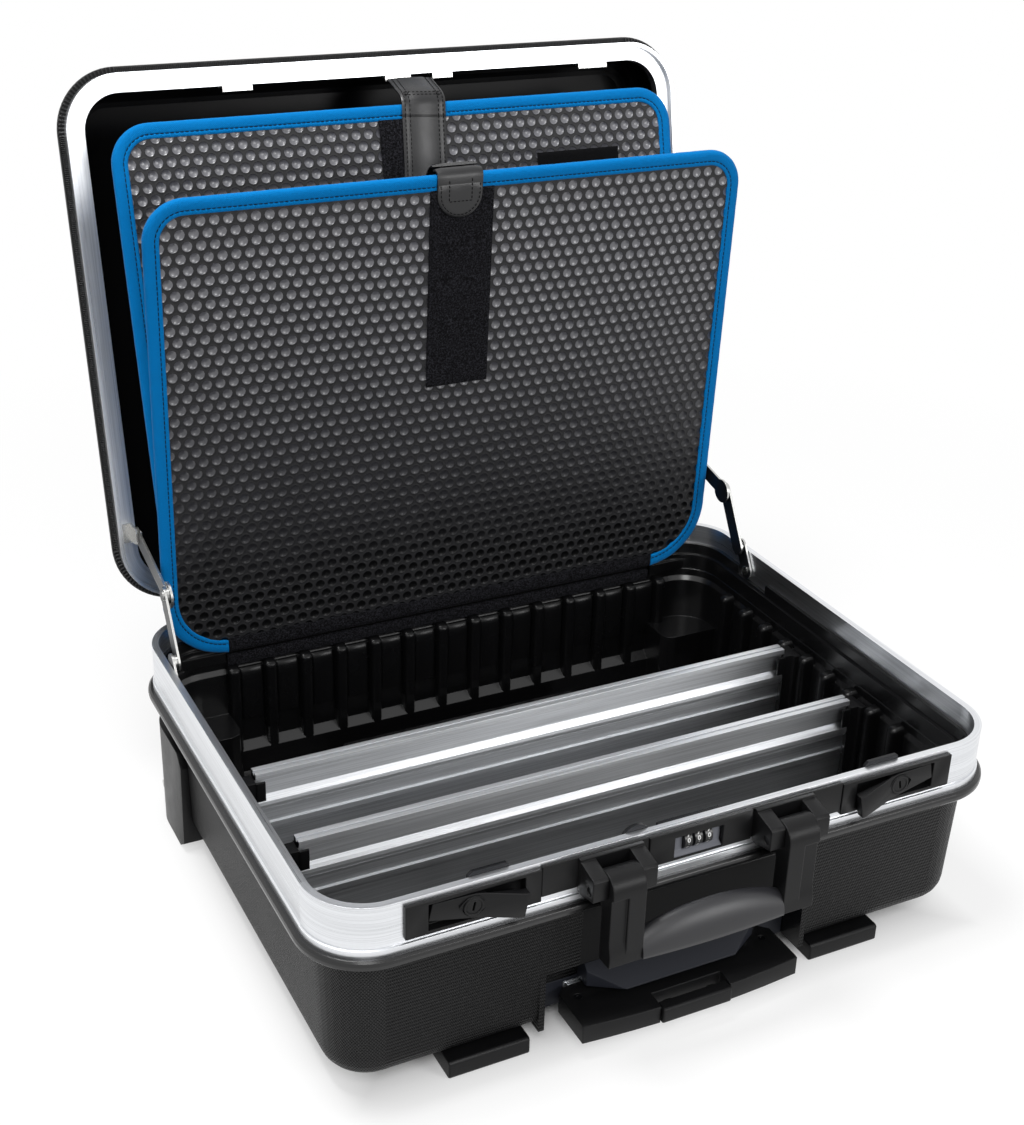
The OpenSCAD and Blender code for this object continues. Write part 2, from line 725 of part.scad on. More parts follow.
module stay_lower() {
  near = stay_b + (stay_e - stay_b) * 0.3;
  difference() {
    union() {
      link(near, stay_e, 6.4, lower_x, lower_x + stay_t);
      link(stay_b, near, 6.4, lower_x + 3.8, lower_x + 3.8 + stay_t);
      along_x(near[0], near[1], 5, lower_x + 0.5, lower_x + 4.5);
    }
    along_x(stay_b[0], stay_b[1], 2.05, lower_x, lower_x + 8);
  }
  along_x(stay_e[0], stay_e[1], 4, lower_x + stay_t, lower_x + stay_t + 1);
}

module stay_upper() {
  difference() {
    link(stay_e, stay_l, 6, upper_x, upper_x + stay_t);
    along_x(stay_l[0], stay_l[1], 2.05, upper_x - 1, upper_x + 8);
  }
  along_x(stay_e[0], stay_e[1], 9.5, upper_x - 1.6, upper_x);
}

module stay_lower_right() placed() color(black) stay_lower();
module stay_lower_left() placed() color(black) mirror([1, 0, 0]) stay_lower();
module stay_upper_right() placed() color(black) stay_upper();
module stay_upper_left() placed() color(black) mirror([1, 0, 0]) stay_upper();

module stay_pins() placed() color(steel) {
  both_sides() {
    along_x(stay_b[0], stay_b[1], 2, lower_x + 3.7, case_w / 2 - band_t);
    along_x(stay_b[0], stay_b[1], 3.6, lower_x + 2.5, lower_x + 3.7);
  }
}

// Where the lid end of the stay lies on the closed lid
stay_s = (stay_l[0] - hinge_y) * -cos(lid_angle) + (stay_l[1] + hinge_drop) * sin(lid_angle);
stay_n = (stay_l[0] - hinge_y) * sin(lid_angle) + (stay_l[1] + hinge_drop) * cos(lid_angle);
stay_c = [hinge_y - stay_s, stay_n - hinge_drop];

module stay_brackets() placed() on_lid() color(steel) {
  both_sides() {
    x = upper_x + stay_t + 0.2;
    leaf([[stay_c[0] - 7, 4], [stay_c[0] - 6, stay_c[1] - 4], [stay_c[0] - 3, stay_c[1] - 6],
      [stay_c[0] + 3, stay_c[1] - 6], [stay_c[0] + 6, stay_c[1] - 4], [stay_c[0] + 7, 4]], x, x + 1.6);
    translate([x, stay_c[0] - 7, 2.6]) cube([7, 14, 1.4]);
    along_x(stay_c[0], stay_c[1], 2, upper_x - 0.6, x);
    along_x(stay_c[0], stay_c[1], 3.6, upper_x - 1.6, upper_x - 0.5);
  }
}

// Boards: [y, z] of the bottom edge, and the lean backwards
front_foot = [case_d - 13.1, -28.2];
front_lean = -2.5;
rear_foot = [case_d - 8.1, 12.4];
rear_lean = 13.5;
rear_pivot = [case_d - 7.5, -3];

module on_board(foot, lean) {
  translate([0, foot[0], foot[1]]) rotate([90 - lean, 0, 0]) children();
}

module board_outline(w, h, inset) {
  t = board_r - inset;
  b = board_foot_r - inset;
  e = w / 2 - inset;
  top = h - inset;
  polygon([[-e, inset + b], [b - e, inset], [e - b, inset], [e, inset + b], [e, top - t], [e - t, top],
    [t - e, top], [-e, top - t]]);
  for (s = [-1, 1]) {
    translate([s * (e - t), top - t]) circle(r = t);
    translate([s * (e - b), inset + b]) circle(r = b);
  }
}

module binding(w, h) {
  translate([0, 0, -board_t / 2]) linear_extrude(board_t) difference() {
    board_outline(w, h, 0);
    board_outline(w, h, binding_w);
  }
}

module panel(w, h) {
  translate([0, 0, -board_t / 2 + 0.7]) linear_extrude(board_t - 1.4) board_outline(w, h, binding_w);
}

module board_front() placed() color("#3a3b3e") on_board(front_foot, front_lean) panel(board_w, board_h);

module binding_front() placed() color(blue) on_board(front_foot, front_lean) difference() {
  binding(board_w, board_h);
  translate([-fabric_half, -5, -10]) cube([2 * fabric_half, 5 + binding_w, 20]);
}

module webbing_front() placed() color(fabric) on_board(front_foot, front_lean) {
  translate([-26, 188, board_t / 2 - 0.7]) cube([48, board_h - 203.6, 1.2]);
  difference() {
    translate([0.2 - fabric_half, 0.3, -board_t / 2]) cube([2 * fabric_half - 0.4, binding_w - 0.3, board_t]);
    translate([0, 0, -board_t / 2 + 0.7]) linear_extrude(board_t - 1.4) board_outline(board_w, board_h, binding_w);
  }
}

module board_rear() placed() color("#3a3b3e") on_board(rear_foot, rear_lean) panel(rear_board_w, rear_board_h);
module binding_rear() placed() color(blue) on_board(rear_foot, rear_lean) binding(rear_board_w, rear_board_h);

module webbing_rear() placed() color(fabric) {
  on_board(rear_foot, rear_lean) {
    translate([-24, 185, board_t / 2 - 0.7]) cube([50, rear_board_h - binding_w - 187, 1.2]);
    translate([101, 284, board_t / 2 - 0.7]) cube([69, 11, 1.2]);
  }
  leaf([[rear_pivot[0] - 0.7, rear_pivot[1]], [rear_pivot[0] + 0.7, rear_pivot[1]],
    [rear_foot[0] + 0.9, rear_foot[1] - 0.35], [rear_foot[0] - 0.9, rear_foot[1] + 0.1]],
    -fabric_half, fabric_half);
}

module hinge_fabric() placed() color(fabric) {
  translate([-fabric_half, case_d - 13.6, -41.5]) cube([2 * fabric_half, 3.4, 9]);
  translate([-fabric_half, case_d - 7.1, -14]) cube([2 * fabric_half, 2.3, 14 + rear_pivot[1] - 0.95]);
}

strap_w = 34;
strap_skew = 8.8;

// The strap runs from the lid ring to the top of the front board, with a little bow: [share, rise]
strap_from = [hinge_y + (hinge_y - ring_w - 4.55) * -cos(lid_angle) + (hinge_drop - 1.49) * sin(lid_angle),
    -hinge_drop + (hinge_y - ring_w - 4.55) * sin(lid_angle) + (hinge_drop - 1.49) * cos(lid_angle)];
strap_to = front_foot + board_h * [sin(front_lean), cos(front_lean)] + [-0.5, 3.73];
strap_bow = [[0, 0], [0.04, 0.48], [0.096, 1.21], [0.208, 2.28], [0.344, 1.97], [0.544, 0.87], [0.784, -0.45],
    [0.928, -0.88], [1, 0]];

module strap() placed() color(fabric) {
  a = [for (b = strap_bow) strap_from + (strap_to - strap_from) * b[0] + [0, b[1]]];
  n = len(a);
  y = strap_from[0] + 9.5;
  translate([17.2, y, 0]) rotate([0, 0, -strap_skew]) translate([0, -y, 0])
    leaf(concat(a, [for (i = [n - 1:-1:0]) a[i] + [0, 2]]), -strap_w / 2, strap_w / 2);
}

module strap_tab() placed() color(fabric) on_board(front_foot, front_lean) {
  translate([-4.5, 0, 0]) {
    translate([0, 0, board_t / 2 + 0.5]) linear_extrude(2) {
      translate([0, board_h - 13.1]) circle(r = strap_w / 2);
      translate([-strap_w / 2, board_h - 13.1]) square([strap_w, 15.7]);
    }
    translate([-strap_w / 2, board_h + 0.3, -board_t / 2 - 1.6]) cube([strap_w, 2.3, board_t + 2.1]);
  }
}

base_shell();
base_frame();
lid_shell();
lid_frame();
hinge_base();
hinge_lid();
hinge_pins();
latch_plates();
lever_left();
lever_right();
key_left();
key_right();
hook_left();
hook_right();
lock_plate();
lock_window();
lock_cover();
dial_1();
dial_2();
dial_3();
dial_axle();
lock_cam();
handle_brackets();
handle_arms();
handle_grip();
handle_pins();
trolley_housing();
tubes_outer();
tubes_middle();
tubes_inner();
trolley_grip();
trolley_button();
trolley_screws();
wheel_housings();
wheel_axles();
wheel_left();
tyre_left();
wheel_right();
tyre_right();
feet();
divider_front();
divider_rear();
clips_front();
clips_rear();
strikes();
stay_lower_left();
stay_lower_right();
stay_upper_left();
stay_upper_right();
stay_pins();
stay_brackets();
board_front();
binding_front();
webbing_front();
board_rear();
binding_rear();
webbing_rear();
hinge_fabric();
strap();
strap_tab();
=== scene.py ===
"""Hard tool case on wheels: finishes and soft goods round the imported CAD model."""

import math

import bmesh
import bpy
from mathutils import Matrix, Vector


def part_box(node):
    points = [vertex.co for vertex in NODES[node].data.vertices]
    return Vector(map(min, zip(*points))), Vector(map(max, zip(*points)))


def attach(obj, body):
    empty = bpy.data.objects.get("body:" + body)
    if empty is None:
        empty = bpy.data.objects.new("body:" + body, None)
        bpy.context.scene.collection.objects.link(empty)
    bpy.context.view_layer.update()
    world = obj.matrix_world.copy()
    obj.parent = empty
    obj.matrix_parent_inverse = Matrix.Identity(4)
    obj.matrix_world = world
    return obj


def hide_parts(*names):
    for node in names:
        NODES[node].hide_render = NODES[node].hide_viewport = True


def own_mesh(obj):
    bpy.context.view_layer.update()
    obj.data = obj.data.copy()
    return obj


bl_info = {
    "name": "Hard Tool Case",
    "version": (1, 0, 0),
    "blender": (4, 5, 0),
    "location": "View3D > Sidebar > Tool Case",
    "description": "Dresses the CAD model of a rolling tool case with its finishes and soft goods",
    "category": "Object",
}

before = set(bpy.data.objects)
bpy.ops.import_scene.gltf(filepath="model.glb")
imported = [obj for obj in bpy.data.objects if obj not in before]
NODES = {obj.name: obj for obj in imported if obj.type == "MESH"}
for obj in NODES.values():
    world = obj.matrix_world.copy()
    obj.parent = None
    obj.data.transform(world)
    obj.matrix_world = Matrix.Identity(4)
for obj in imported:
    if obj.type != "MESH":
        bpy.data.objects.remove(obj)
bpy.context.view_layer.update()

MM = 0.001
# How far the front of the frame's lip stands before its band
LIP = 1.2 * MM
BAND_LOW, BAND_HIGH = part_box("base_frame")
# Half sizes of the case's outline, the radius of its corners, and how far the lid stands open
OUTLINE_HALF = (240 * MM, 185.75 * MM)
OUTLINE_RADIUS = 39.5 * MM
LID_TURN = math.radians(101.56)
# The case's own zero: middle of its width, front face of the band, top of the rim
CASE_ZERO = Vector((0, BAND_LOW.y + LIP, BAND_HIGH.z))


def at(x, y, z):
    """A point given in millimetres from the case's own zero, in the frame."""
    return CASE_ZERO + Vector((x, y, z)) * MM


LID_AXIS = at(0, 386.9, -8.8)

# Properties


def length(name, description, default):
    return bpy.props.FloatProperty(
        name=name, description=description, default=default, min=0.0, subtype="DISTANCE", unit="LENGTH"
    )


def colour(name, description, default):
    return bpy.props.StringProperty(name=name, description=description, default=default)


class CaseSizes(bpy.types.PropertyGroup):
    dimple_pitch: length("Dimple pitch", "Spacing of the dimples in the board covering", 9.35 * MM)
    dimple_radius: length("Dimple radius", "Radius of each dimple at its rim", 3.75 * MM)
    dimple_depth: length("Dimple depth", "Depth of each dimple", 1.1 * MM)
    binding_width: length("Binding width", "Width of the tape bound round the boards", 10.7 * MM)
    stitch_pitch: length("Stitch pitch", "Distance from one stitch to the next", 3.5 * MM)
    thread_radius: length("Thread radius", "Radius of the sewing thread", 0.32 * MM)
    strap_width: length("Strap width", "Width of the holding strap", 34.0 * MM)
    grain_pitch: length("Grain pitch", "Spacing of the scaly grain moulded into the shells", 2.6 * MM)


class CaseColours(bpy.types.PropertyGroup):
    shell: colour("Shell", "Moulded shells", "#0c0c0d")
    lock: colour("Fittings", "Latch and handle fittings", "#111112")
    grip: colour("Grip", "Soft part of the handle", "#222225")
    trolley: colour("Trolley", "Trolley grip", "#121213")
    window: colour("Window", "Surround of the number wheels", "#6f7178")
    housing: colour("Housing", "Trolley housing", "#22242b")
    band: colour("Band", "Aluminium frames and rails", "#e6e8eb")
    zinc: colour("Zinc", "Plated steel pieces", "#c2c2c0")
    black_steel: colour("Black steel", "Coated steel links", "#141518")
    vinyl: colour("Board", "Covering of the boards", "#19191b")
    dish: colour("Dishes", "Dishes in the covering", "#58585e")
    binding: colour("Binding", "Tape round the boards", "#0074ba")
    webbing: colour("Webbing", "Black loop tape and fabric", "#08080a")
    leather: colour("Strap", "Holding strap", "#131315")


def sizes():
    return bpy.context.scene.case_sizes


def colours():
    return bpy.context.scene.case_colours


def add_object(name, data):
    """A new object in the scene."""
    obj = bpy.data.objects.new(name, data)
    bpy.context.scene.collection.objects.link(obj)
    return obj


# Materials

# Colours that a user has no need to change
RUBBER, ACETAL, ENAMEL, THREAD = "#161616", "#121213", "#ececea", "#060607"
# The second of these is the painted shade that the dishes darken to at the foot of a board
STRAY_HAIR, DISH_PAINTED_SHADE = "#3a3a40", "#0b0b0c"


def linear(text):
    """sRGB hex to linear RGBA."""
    out = []
    for i in (1, 3, 5):
        v = int(text[i : i + 2], 16) / 255
        out.append(v / 12.92 if v <= 0.04045 else ((v + 0.055) / 1.055) ** 2.4)
    return (*out, 1.0)


def add(tree, kind, inputs=None, **settings):
    """A node with its settings, and its inputs set or linked."""
    node = tree.nodes.new(kind)
    for key, value in settings.items():
        setattr(node, key, value)
    for key, value in (inputs or {}).items():
        if isinstance(value, bpy.types.NodeSocket):
            tree.links.new(value, node.inputs[key])
        else:
            node.inputs[key].default_value = value
    return node


def new_material(name, base, specular=0.5, **shader):
    """A material with one surface shader; returns it with its tree and shader."""
    mat = bpy.data.materials.new(name)
    mat.use_nodes = True
    tree = mat.node_tree
    bsdf = tree.nodes["Principled BSDF"]
    bsdf.inputs["Base Color"].default_value = linear(base)
    for key, value in {"Specular IOR Level": specular, **shader}.items():
        bsdf.inputs[key].default_value = value
    return mat, tree, bsdf


def place(tree, scale=(1, 1, 1)):
    """Object coordinates in millimetres, stretched by scale."""
    coords = add(tree, "ShaderNodeTexCoord").outputs["Object"]
    return add(tree, "ShaderNodeMapping", {"Vector": coords, "Scale": [s / MM for s in scale]}).outputs["Vector"]


def math_node(tree, operation, *values):
    """Result of a math node on one or two values."""
    return add(tree, "ShaderNodeMath", dict(enumerate(values)), operation=operation).outputs[0]


def product(tree, first, *others):
    """Values multiplied together."""
    for value in others:
        first = math_node(tree, "MULTIPLY", first, value)
    return first


def remap(tree, value, low, high, start=0.0, end=1.0, **settings):
    """A value spread from start and end to low and high, and kept between them."""
    spread = {"Value": value, "From Min": start, "From Max": end, "To Min": low, "To Max": high}
    return add(tree, "ShaderNodeMapRange", spread, **settings).outputs["Result"]


def axes(tree, vector=None):
    """X, Y and Z of a vector, or else of the place in the frame in metres."""
    if vector is None:
        vector = add(tree, "ShaderNodeTexCoord").outputs["Object"]
    return add(tree, "ShaderNodeSeparateXYZ", {"Vector": vector}).outputs


def noise(tree, scale, detail=2.0, rough=0.5, vector=None):
    """Noise of so many features to the millimetre."""
    vector = place(tree) if vector is None else vector
    inputs = {"Vector": vector, "Scale": scale, "Detail": detail, "Roughness": rough}
    return add(tree, "ShaderNodeTexNoise", inputs).outputs["Fac"]


def two_tones(tree, bsdf, pattern, dark, light, start=0.0, end=1.0):
    """Base colour that goes from one linear tone to another as the pattern goes from start to end."""
    ramp = add(tree, "ShaderNodeValToRGB", {"Fac": pattern})
    for k, tone, spot in ((0, dark, start), (1, light, end)):
        ramp.color_ramp.elements[k].position = spot
        ramp.color_ramp.elements[k].color = tone
    tree.links.new(ramp.outputs["Color"], bsdf.inputs["Base Color"])


def tinted(tree, bsdf, base, pattern, low, high):
    """Base colour that a pattern makes darker and lighter."""
    dark, light = ((*(v * k for v in linear(base)[:3]), 1) for k in (low, high))
    two_tones(tree, bsdf, pattern, dark, light)


def rough_range(tree, bsdf, pattern, low, high):
    """Roughness that a pattern moves between two values."""
    tree.links.new(remap(tree, pattern, low, high), bsdf.inputs["Roughness"])


def bump(tree, bsdf, height, strength, distance, under=None):
    """Fine relief of a depth in millimetres, over the normals given."""
    node = add(tree, "ShaderNodeBump", {"Strength": strength, "Distance": distance * MM, "Height": height})
    if under is not None:
        tree.links.new(under, node.inputs["Normal"])
    tree.links.new(node.outputs["Normal"], bsdf.inputs["Normal"])


def edge_round(tree, radius):
    """Normals rounded over the edges, as a moulded or tumbled edge is."""
    return add(tree, "ShaderNodeBevel", {"Radius": radius * MM}, samples=4).outputs["Normal"]


def even_finish(name, base, relief=None, edge=0.0, gloss=None, tint=None, **shader):
    """A finish with relief (scale, detail, strength, depth), gloss and tint (scale, detail, low, high)."""
    mat, tree, bsdf = new_material(name, base, **shader)
    if relief:
        scale, detail, strength, depth = relief
        bump(tree, bsdf, noise(tree, scale, detail), strength, depth, edge_round(tree, edge) if edge else None)
    if gloss:
        rough_range(tree, bsdf, noise(tree, *gloss[:2]), *gloss[2:])
    if tint:
        tinted(tree, bsdf, base, noise(tree, *tint[:2]), *tint[2:])
    return mat


def round_outline(tree, turn):
    """Millimetres along, away from and above the case's rounded outline, on a part swung about the lid hinge."""
    coords = add(tree, "ShaderNodeTexCoord").outputs["Object"]
    hinge = add(tree, "ShaderNodeVectorMath", {0: coords, 1: list(LID_AXIS)}, operation="SUBTRACT").outputs[0]
    flat = add(tree, "ShaderNodeVectorRotate", {"Vector": hinge, "Angle": turn}, rotation_type="X_AXIS").outputs[0]
    spot = axes(tree, flat)
    middle = OUTLINE_HALF[1] - LID_AXIS.y + CASE_ZERO.y
    near, off = [], []
    for value, half in zip((spot["X"], math_node(tree, "SUBTRACT", spot["Y"], middle)), OUTLINE_HALF):
        core = half - OUTLINE_RADIUS
        near.append(add(tree, "ShaderNodeClamp", {"Value": value, "Min": -core, "Max": core}).outputs[0])
        off.append(math_node(tree, "SUBTRACT", value, near[-1]))
    away = math_node(tree, "SQRT", math_node(tree, "ADD", *(product(tree, v, v) for v in off)))
    turned = product(tree, math_node(tree, "ARCTAN2", off[1], off[0]), OUTLINE_RADIUS)
    along = math_node(tree, "ADD", math_node(tree, "ADD", *near), turned)
    skew = math_node(tree, "SUBTRACT", *near)
    return [product(tree, value, 1 / MM) for value in (along, away, spot["Z"], skew)]


# The smooth panel behind the handle: half its width, and how far back it reaches
PANEL_HALF, PANEL_DEPTH = 72, 20


def grained_abs(name, node, turn, smooth_from, inside_gloss):
    # Injection-moulded ABS: rows of fine scales outside, a plain glossy bead and plain satin walls inside
    mat, tree, bsdf = new_material(name, colours().shell, Roughness=0.4, IOR=1.53)
    k = 2 * math.pi / (sizes().grain_pitch / MM)
    along, _, high, skew = round_outline(tree, turn)
    one = math_node(tree, "SINE", product(tree, along, k))
    two = math_node(tree, "SINE", product(tree, math_node(tree, "ADD", high, skew), k))
    low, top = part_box(node)
    coords = add(tree, "ShaderNodeTexCoord").outputs
    reach = add(tree, "ShaderNodeVectorMath", {0: coords["Object"], 1: list((low + top) / 2)}, operation="SUBTRACT")
    facing = add(tree, "ShaderNodeVectorMath", {0: reach.outputs[0], 1: coords["Normal"]}, operation="DOT_PRODUCT")
    outside = math_node(tree, "GREATER_THAN", facing.outputs["Value"], 0.0)
    spot = axes(tree)
    under = math_node(tree, "LESS_THAN", spot["Z"], at(0, 0, smooth_from).z)
    beside = math_node(tree, "GREATER_THAN", math_node(tree, "ABSOLUTE", spot["X"]), PANEL_HALF * MM)
    behind = math_node(tree, "GREATER_THAN", spot["Y"], at(0, PANEL_DEPTH, 0).y)
    grained = math_node(tree, "MAXIMUM", beside, behind)
    mask = product(tree, outside, under, grained)
    scales = product(tree, one, two, mask)
    bump(tree, bsdf, scales, 1.0, 0.55, edge_round(tree, 0.8))
    plain = remap(tree, noise(tree, 0.02, 3.0), 0.2, 0.3)
    tree.links.new(math_node(tree, "ADD", plain, product(tree, mask, 0.14)), bsdf.inputs["Roughness"])
    panel = product(tree, math_node(tree, "SUBTRACT", 1.0, grained), under)
    worn = remap(tree, scales, 0.35, 1.65, -1.0)
    gloss = product(tree, remap(tree, mask, inside_gloss, 0.2), remap(tree, panel, 1.0, 0.12), worn)
    tree.links.new(gloss, bsdf.inputs["Specular IOR Level"])
    tinted(tree, bsdf, colours().shell, remap(tree, scales, 0.0, 1.0, -1.0), 0.4, 1.6)
    return mat


def lock_abs():
    # Injection-moulded ABS with a polished tool: smooth black, sharper highlights on rounded edges
    return even_finish("abs_moulded_satin", colours().lock, (2.2, 3.0, 0.6, 0.16), 0.9, (0.08, 2.0, 0.28, 0.42),
                       specular=0.18, IOR=1.53)


def soft_grip():
    # Soft-touch elastomer moulded over the handle: dark grey and dull
    return even_finish("elastomer_moulded", colours().grip, (2.6, 4.0, 0.5, 0.12), 0.8,
                       tint=(0.06, 2.0, 0.9, 1.1), Roughness=0.38, IOR=1.5)


def polyamide(name, base, rough):
    # Glass-filled polyamide, moulded: even dark grey with a fine spark grain
    return even_finish(name, base, (1.8, 4.0, 0.45, 0.12), 1.3, (0.05, 2.0, rough - 0.06, rough + 0.06),
                       specular=0.18, IOR=1.53)


def anodised(name, vector_of, rough=0.28, relief=0.056, run=None):
    # Aluminium extrusion, brushed and clear anodised: long fine lines that stretch the highlights
    mat, tree, bsdf = new_material(name, colours().band, Metallic=1.0)
    vector = vector_of(tree)
    fine = noise(tree, 1.0, 4.0, 0.6, vector)
    broad = noise(tree, 0.5, 2.0, 0.5, vector)
    lines = math_node(tree, "ADD", product(tree, fine, 0.8), product(tree, broad, 0.2))
    bump(tree, bsdf, fine, 0.4, relief, edge_round(tree, 0.3))
    rough_range(tree, bsdf, lines, rough - 0.05, rough + 0.08)
    if run:
        bsdf.inputs["Anisotropic"].default_value = 0.85
        normal = add(tree, "ShaderNodeNewGeometry").outputs["Normal"]
        across = add(tree, "ShaderNodeVectorMath", {0: normal, 1: run}, operation="CROSS_PRODUCT")
        tree.links.new(across.outputs[0], bsdf.inputs["Tangent"])
    tinted(tree, bsdf, colours().band, remap(tree, lines, 0.0, 1.0, 0.36, 0.62), 0.84, 1.06)
    return mat


def straight_lines(axis):
    """Lines along one axis."""

    def vector_of(tree):
        scale = [1.3, 1.3, 1.3]
        scale[axis] = 0.01
        return place(tree, scale)

    return vector_of


def outline_lines(turn):
    """Lines that follow the case's rounded outline, on a frame swung by turn about the lid hinge."""

    def vector_of(tree):
        along, away, high, _ = round_outline(tree, turn)
        scaled = [product(tree, value, k) for value, k in ((along, 0.01), (away, 1.3), (high, 1.3))]
        return add(tree, "ShaderNodeCombineXYZ", dict(zip("XYZ", scaled))).outputs[0]

    return vector_of


def zinc_steel():
    # Steel, stamped and zinc plated: bright with a slight cloudiness
    return even_finish("steel_zinc_plated", colours().zinc, (2.5, 2.0, 0.15, 0.04), 0.25, (0.35, 3.0, 0.18, 0.34),
                       Metallic=1.0)


def black_steel():
    # Steel strip with a baked black coat: dark with a cool sheen
    return even_finish("steel_black_coated", colours().black_steel, (2.0, 3.0, 0.2, 0.05), 0.3, (0.2, 2.0, 0.24, 0.38),
                       Metallic=0.6)


def stay_steel():
    # Steel strip, coated black before it was cut: black faces and bright cut edges
    mat, tree, bsdf = new_material("steel_strip_cut", colours().black_steel, 0.2, Roughness=0.28)
    bump(tree, bsdf, noise(tree, 2.0, 3.0), 0.2, 0.05, edge_round(tree, 0.2))
    facing = axes(tree, add(tree, "ShaderNodeNewGeometry").outputs["True Normal"])
    face = math_node(tree, "GREATER_THAN", math_node(tree, "ABSOLUTE", facing["X"]), 0.8)
    two_tones(tree, bsdf, face, linear(colours().zinc), linear(colours().black_steel))
    tree.links.new(math_node(tree, "SUBTRACT", 1.0, face), bsdf.inputs["Metallic"])
    return mat


def tyre_rubber():
    # Thermoplastic rubber, moulded: matt black
    return even_finish("rubber_moulded", RUBBER, (1.2, 4.0, 0.5, 0.15), 0.6, tint=(0.2, 2.0, 0.8, 1.3),
                       Roughness=0.62, IOR=1.52)


def dial_black():
    # Acetal, moulded: black with a soft gloss
    return even_finish("acetal_moulded", ACETAL, (2.0, 2.0, 0.2, 0.04), 0.2, tint=(0.5, 2.0, 0.8, 1.2),
                       Roughness=0.3, IOR=1.48)


def filled_white():
    # Enamel filled into the moulded figures
    return even_finish("enamel_filled", ENAMEL, tint=(2.0, 2.0, 0.93, 1.02), Roughness=0.45)


def board_vinyl():
    # PVC foil, vacuum-formed over the dimpled board: dull dark grey between the dishes
    return even_finish("pvc_formed_web", colours().vinyl, (2.4, 3.0, 0.3, 0.08), tint=(0.1, 2.0, 0.85, 1.15),
                       specular=0.3, Roughness=0.55, IOR=1.54)


def dish_vinyl():
    # The same foil, stretched over the forming tool, with painted light: lighter and glossier dishes high on the sheet
    # that turn duller and darker towards its foot, as painted shade
    mat, tree, bsdf = new_material("pvc_formed_dish", colours().dish, IOR=1.54)
    high = axes(tree, add(tree, "ShaderNodeTexCoord").outputs["Generated"])["Z"]
    high = math_node(tree, "ADD", high, product(tree, noise(tree, 0.02), 0.16))
    # Painted highlight: the dishes reflect more high on the sheet and less towards its foot
    gloss = remap(tree, high, 0.12, 1.0, 0.22, 0.95, interpolation_type="SMOOTHSTEP")
    tree.links.new(gloss, bsdf.inputs["Specular IOR Level"])
    bump(tree, bsdf, noise(tree, 1.6), 0.2, 0.05)
    rough_range(tree, bsdf, noise(tree, 0.05), 0.26, 0.34)
    # Painted shade: the dishes go from their own colour high on the sheet to near black at its foot
    two_tones(tree, bsdf, high, linear(DISH_PAINTED_SHADE), linear(colours().dish), 0.2, 0.95)
    return mat


def woven(name, base, pitch, sheen):
    # Narrow polyester tape, plain woven: matt with a thread pattern
    sheens = {"Sheen Weight": sheen, "Sheen Roughness": 0.4}
    mat, tree, bsdf = new_material(name, base, 0.06, Roughness=0.7, IOR=1.5, **sheens)
    spot = axes(tree, place(tree))
    weave = product(tree, *(math_node(tree, "SINE", product(tree, spot[axis], 2 * math.pi / pitch)) for axis in "XZ"))
    fuzz = noise(tree, 1.5, 4.0)
    bump(tree, bsdf, math_node(tree, "ADD", product(tree, weave, 0.5), fuzz), 0.8, 0.3)
    tinted(tree, bsdf, base, fuzz, 0.82, 1.18)
    return mat


def loop_tape():
    # Loop pile of hook-and-loop tape: deep black fuzz with stray bright hairs
    mat, tree, bsdf = new_material("loop_pile", colours().webbing, 0.08, Roughness=0.85, IOR=1.45)
    fuzz = noise(tree, 0.8, 5.0, 0.8)
    bump(tree, bsdf, fuzz, 1.0, 0.9)
    two_tones(tree, bsdf, fuzz, linear(THREAD), linear(STRAY_HAIR), 0.45, 0.7)
    return mat


def strap_leather():
    # Bonded leather, pressed smooth: black with a broad soft highlight and fine pores
    mat, tree, bsdf = new_material("leather_pressed", colours().leather, IOR=1.5)
    cells = add(tree, "ShaderNodeTexVoronoi", {"Vector": place(tree), "Scale": 1.1}, feature="DISTANCE_TO_EDGE")
    bump(tree, bsdf, remap(tree, cells.outputs["Distance"], 0.0, 1.0, 0.0, 0.15), 0.25, 0.08)
    rough_range(tree, bsdf, noise(tree, 0.15, 3.0), 0.27, 0.42)
    return mat


def thread_black():
    # Bonded polyester thread
    return even_finish("thread_bonded", THREAD, tint=(2.0, 2.0, 0.7, 1.5), specular=0.1, Roughness=0.6)


# Mesh helpers

# Finishes by name, filled by the first operator
MATS = {}
# Points closer than this are one
SAME_SPOT = 0.002 * MM


def round_edges(obj, width, angle, harden=False):
    """Rounds the edges that turn by more than an angle, over a width in millimetres."""
    edge = obj.modifiers.new("edge", "BEVEL")
    edge.width = width * MM
    edge.segments = 3
    edge.limit_method = "ANGLE"
    edge.angle_limit = math.radians(angle)
    edge.harden_normals = harden


def set_material(finish, *nodes, bevel=0.0):
    """Gives CAD nodes their finish, smooth faces and, if asked, rounded edges."""
    crease = 32.0
    for node in nodes:
        obj = NODES[node]
        obj.data.materials.clear()
        obj.data.materials.append(MATS[finish])
        obj.data.polygons.foreach_set("use_smooth", [True] * len(obj.data.polygons))
        obj.data.set_sharp_from_angle(angle=math.radians(crease))
        if bevel:
            weld = obj.modifiers.new("weld", "WELD")
            weld.merge_threshold = SAME_SPOT
            flat = obj.modifiers.new("flat", "DECIMATE")
            flat.decimate_type = "DISSOLVE"
            flat.angle_limit = math.radians(1.0)
            round_edges(obj, bevel, crease, True)
    return {"FINISHED"}


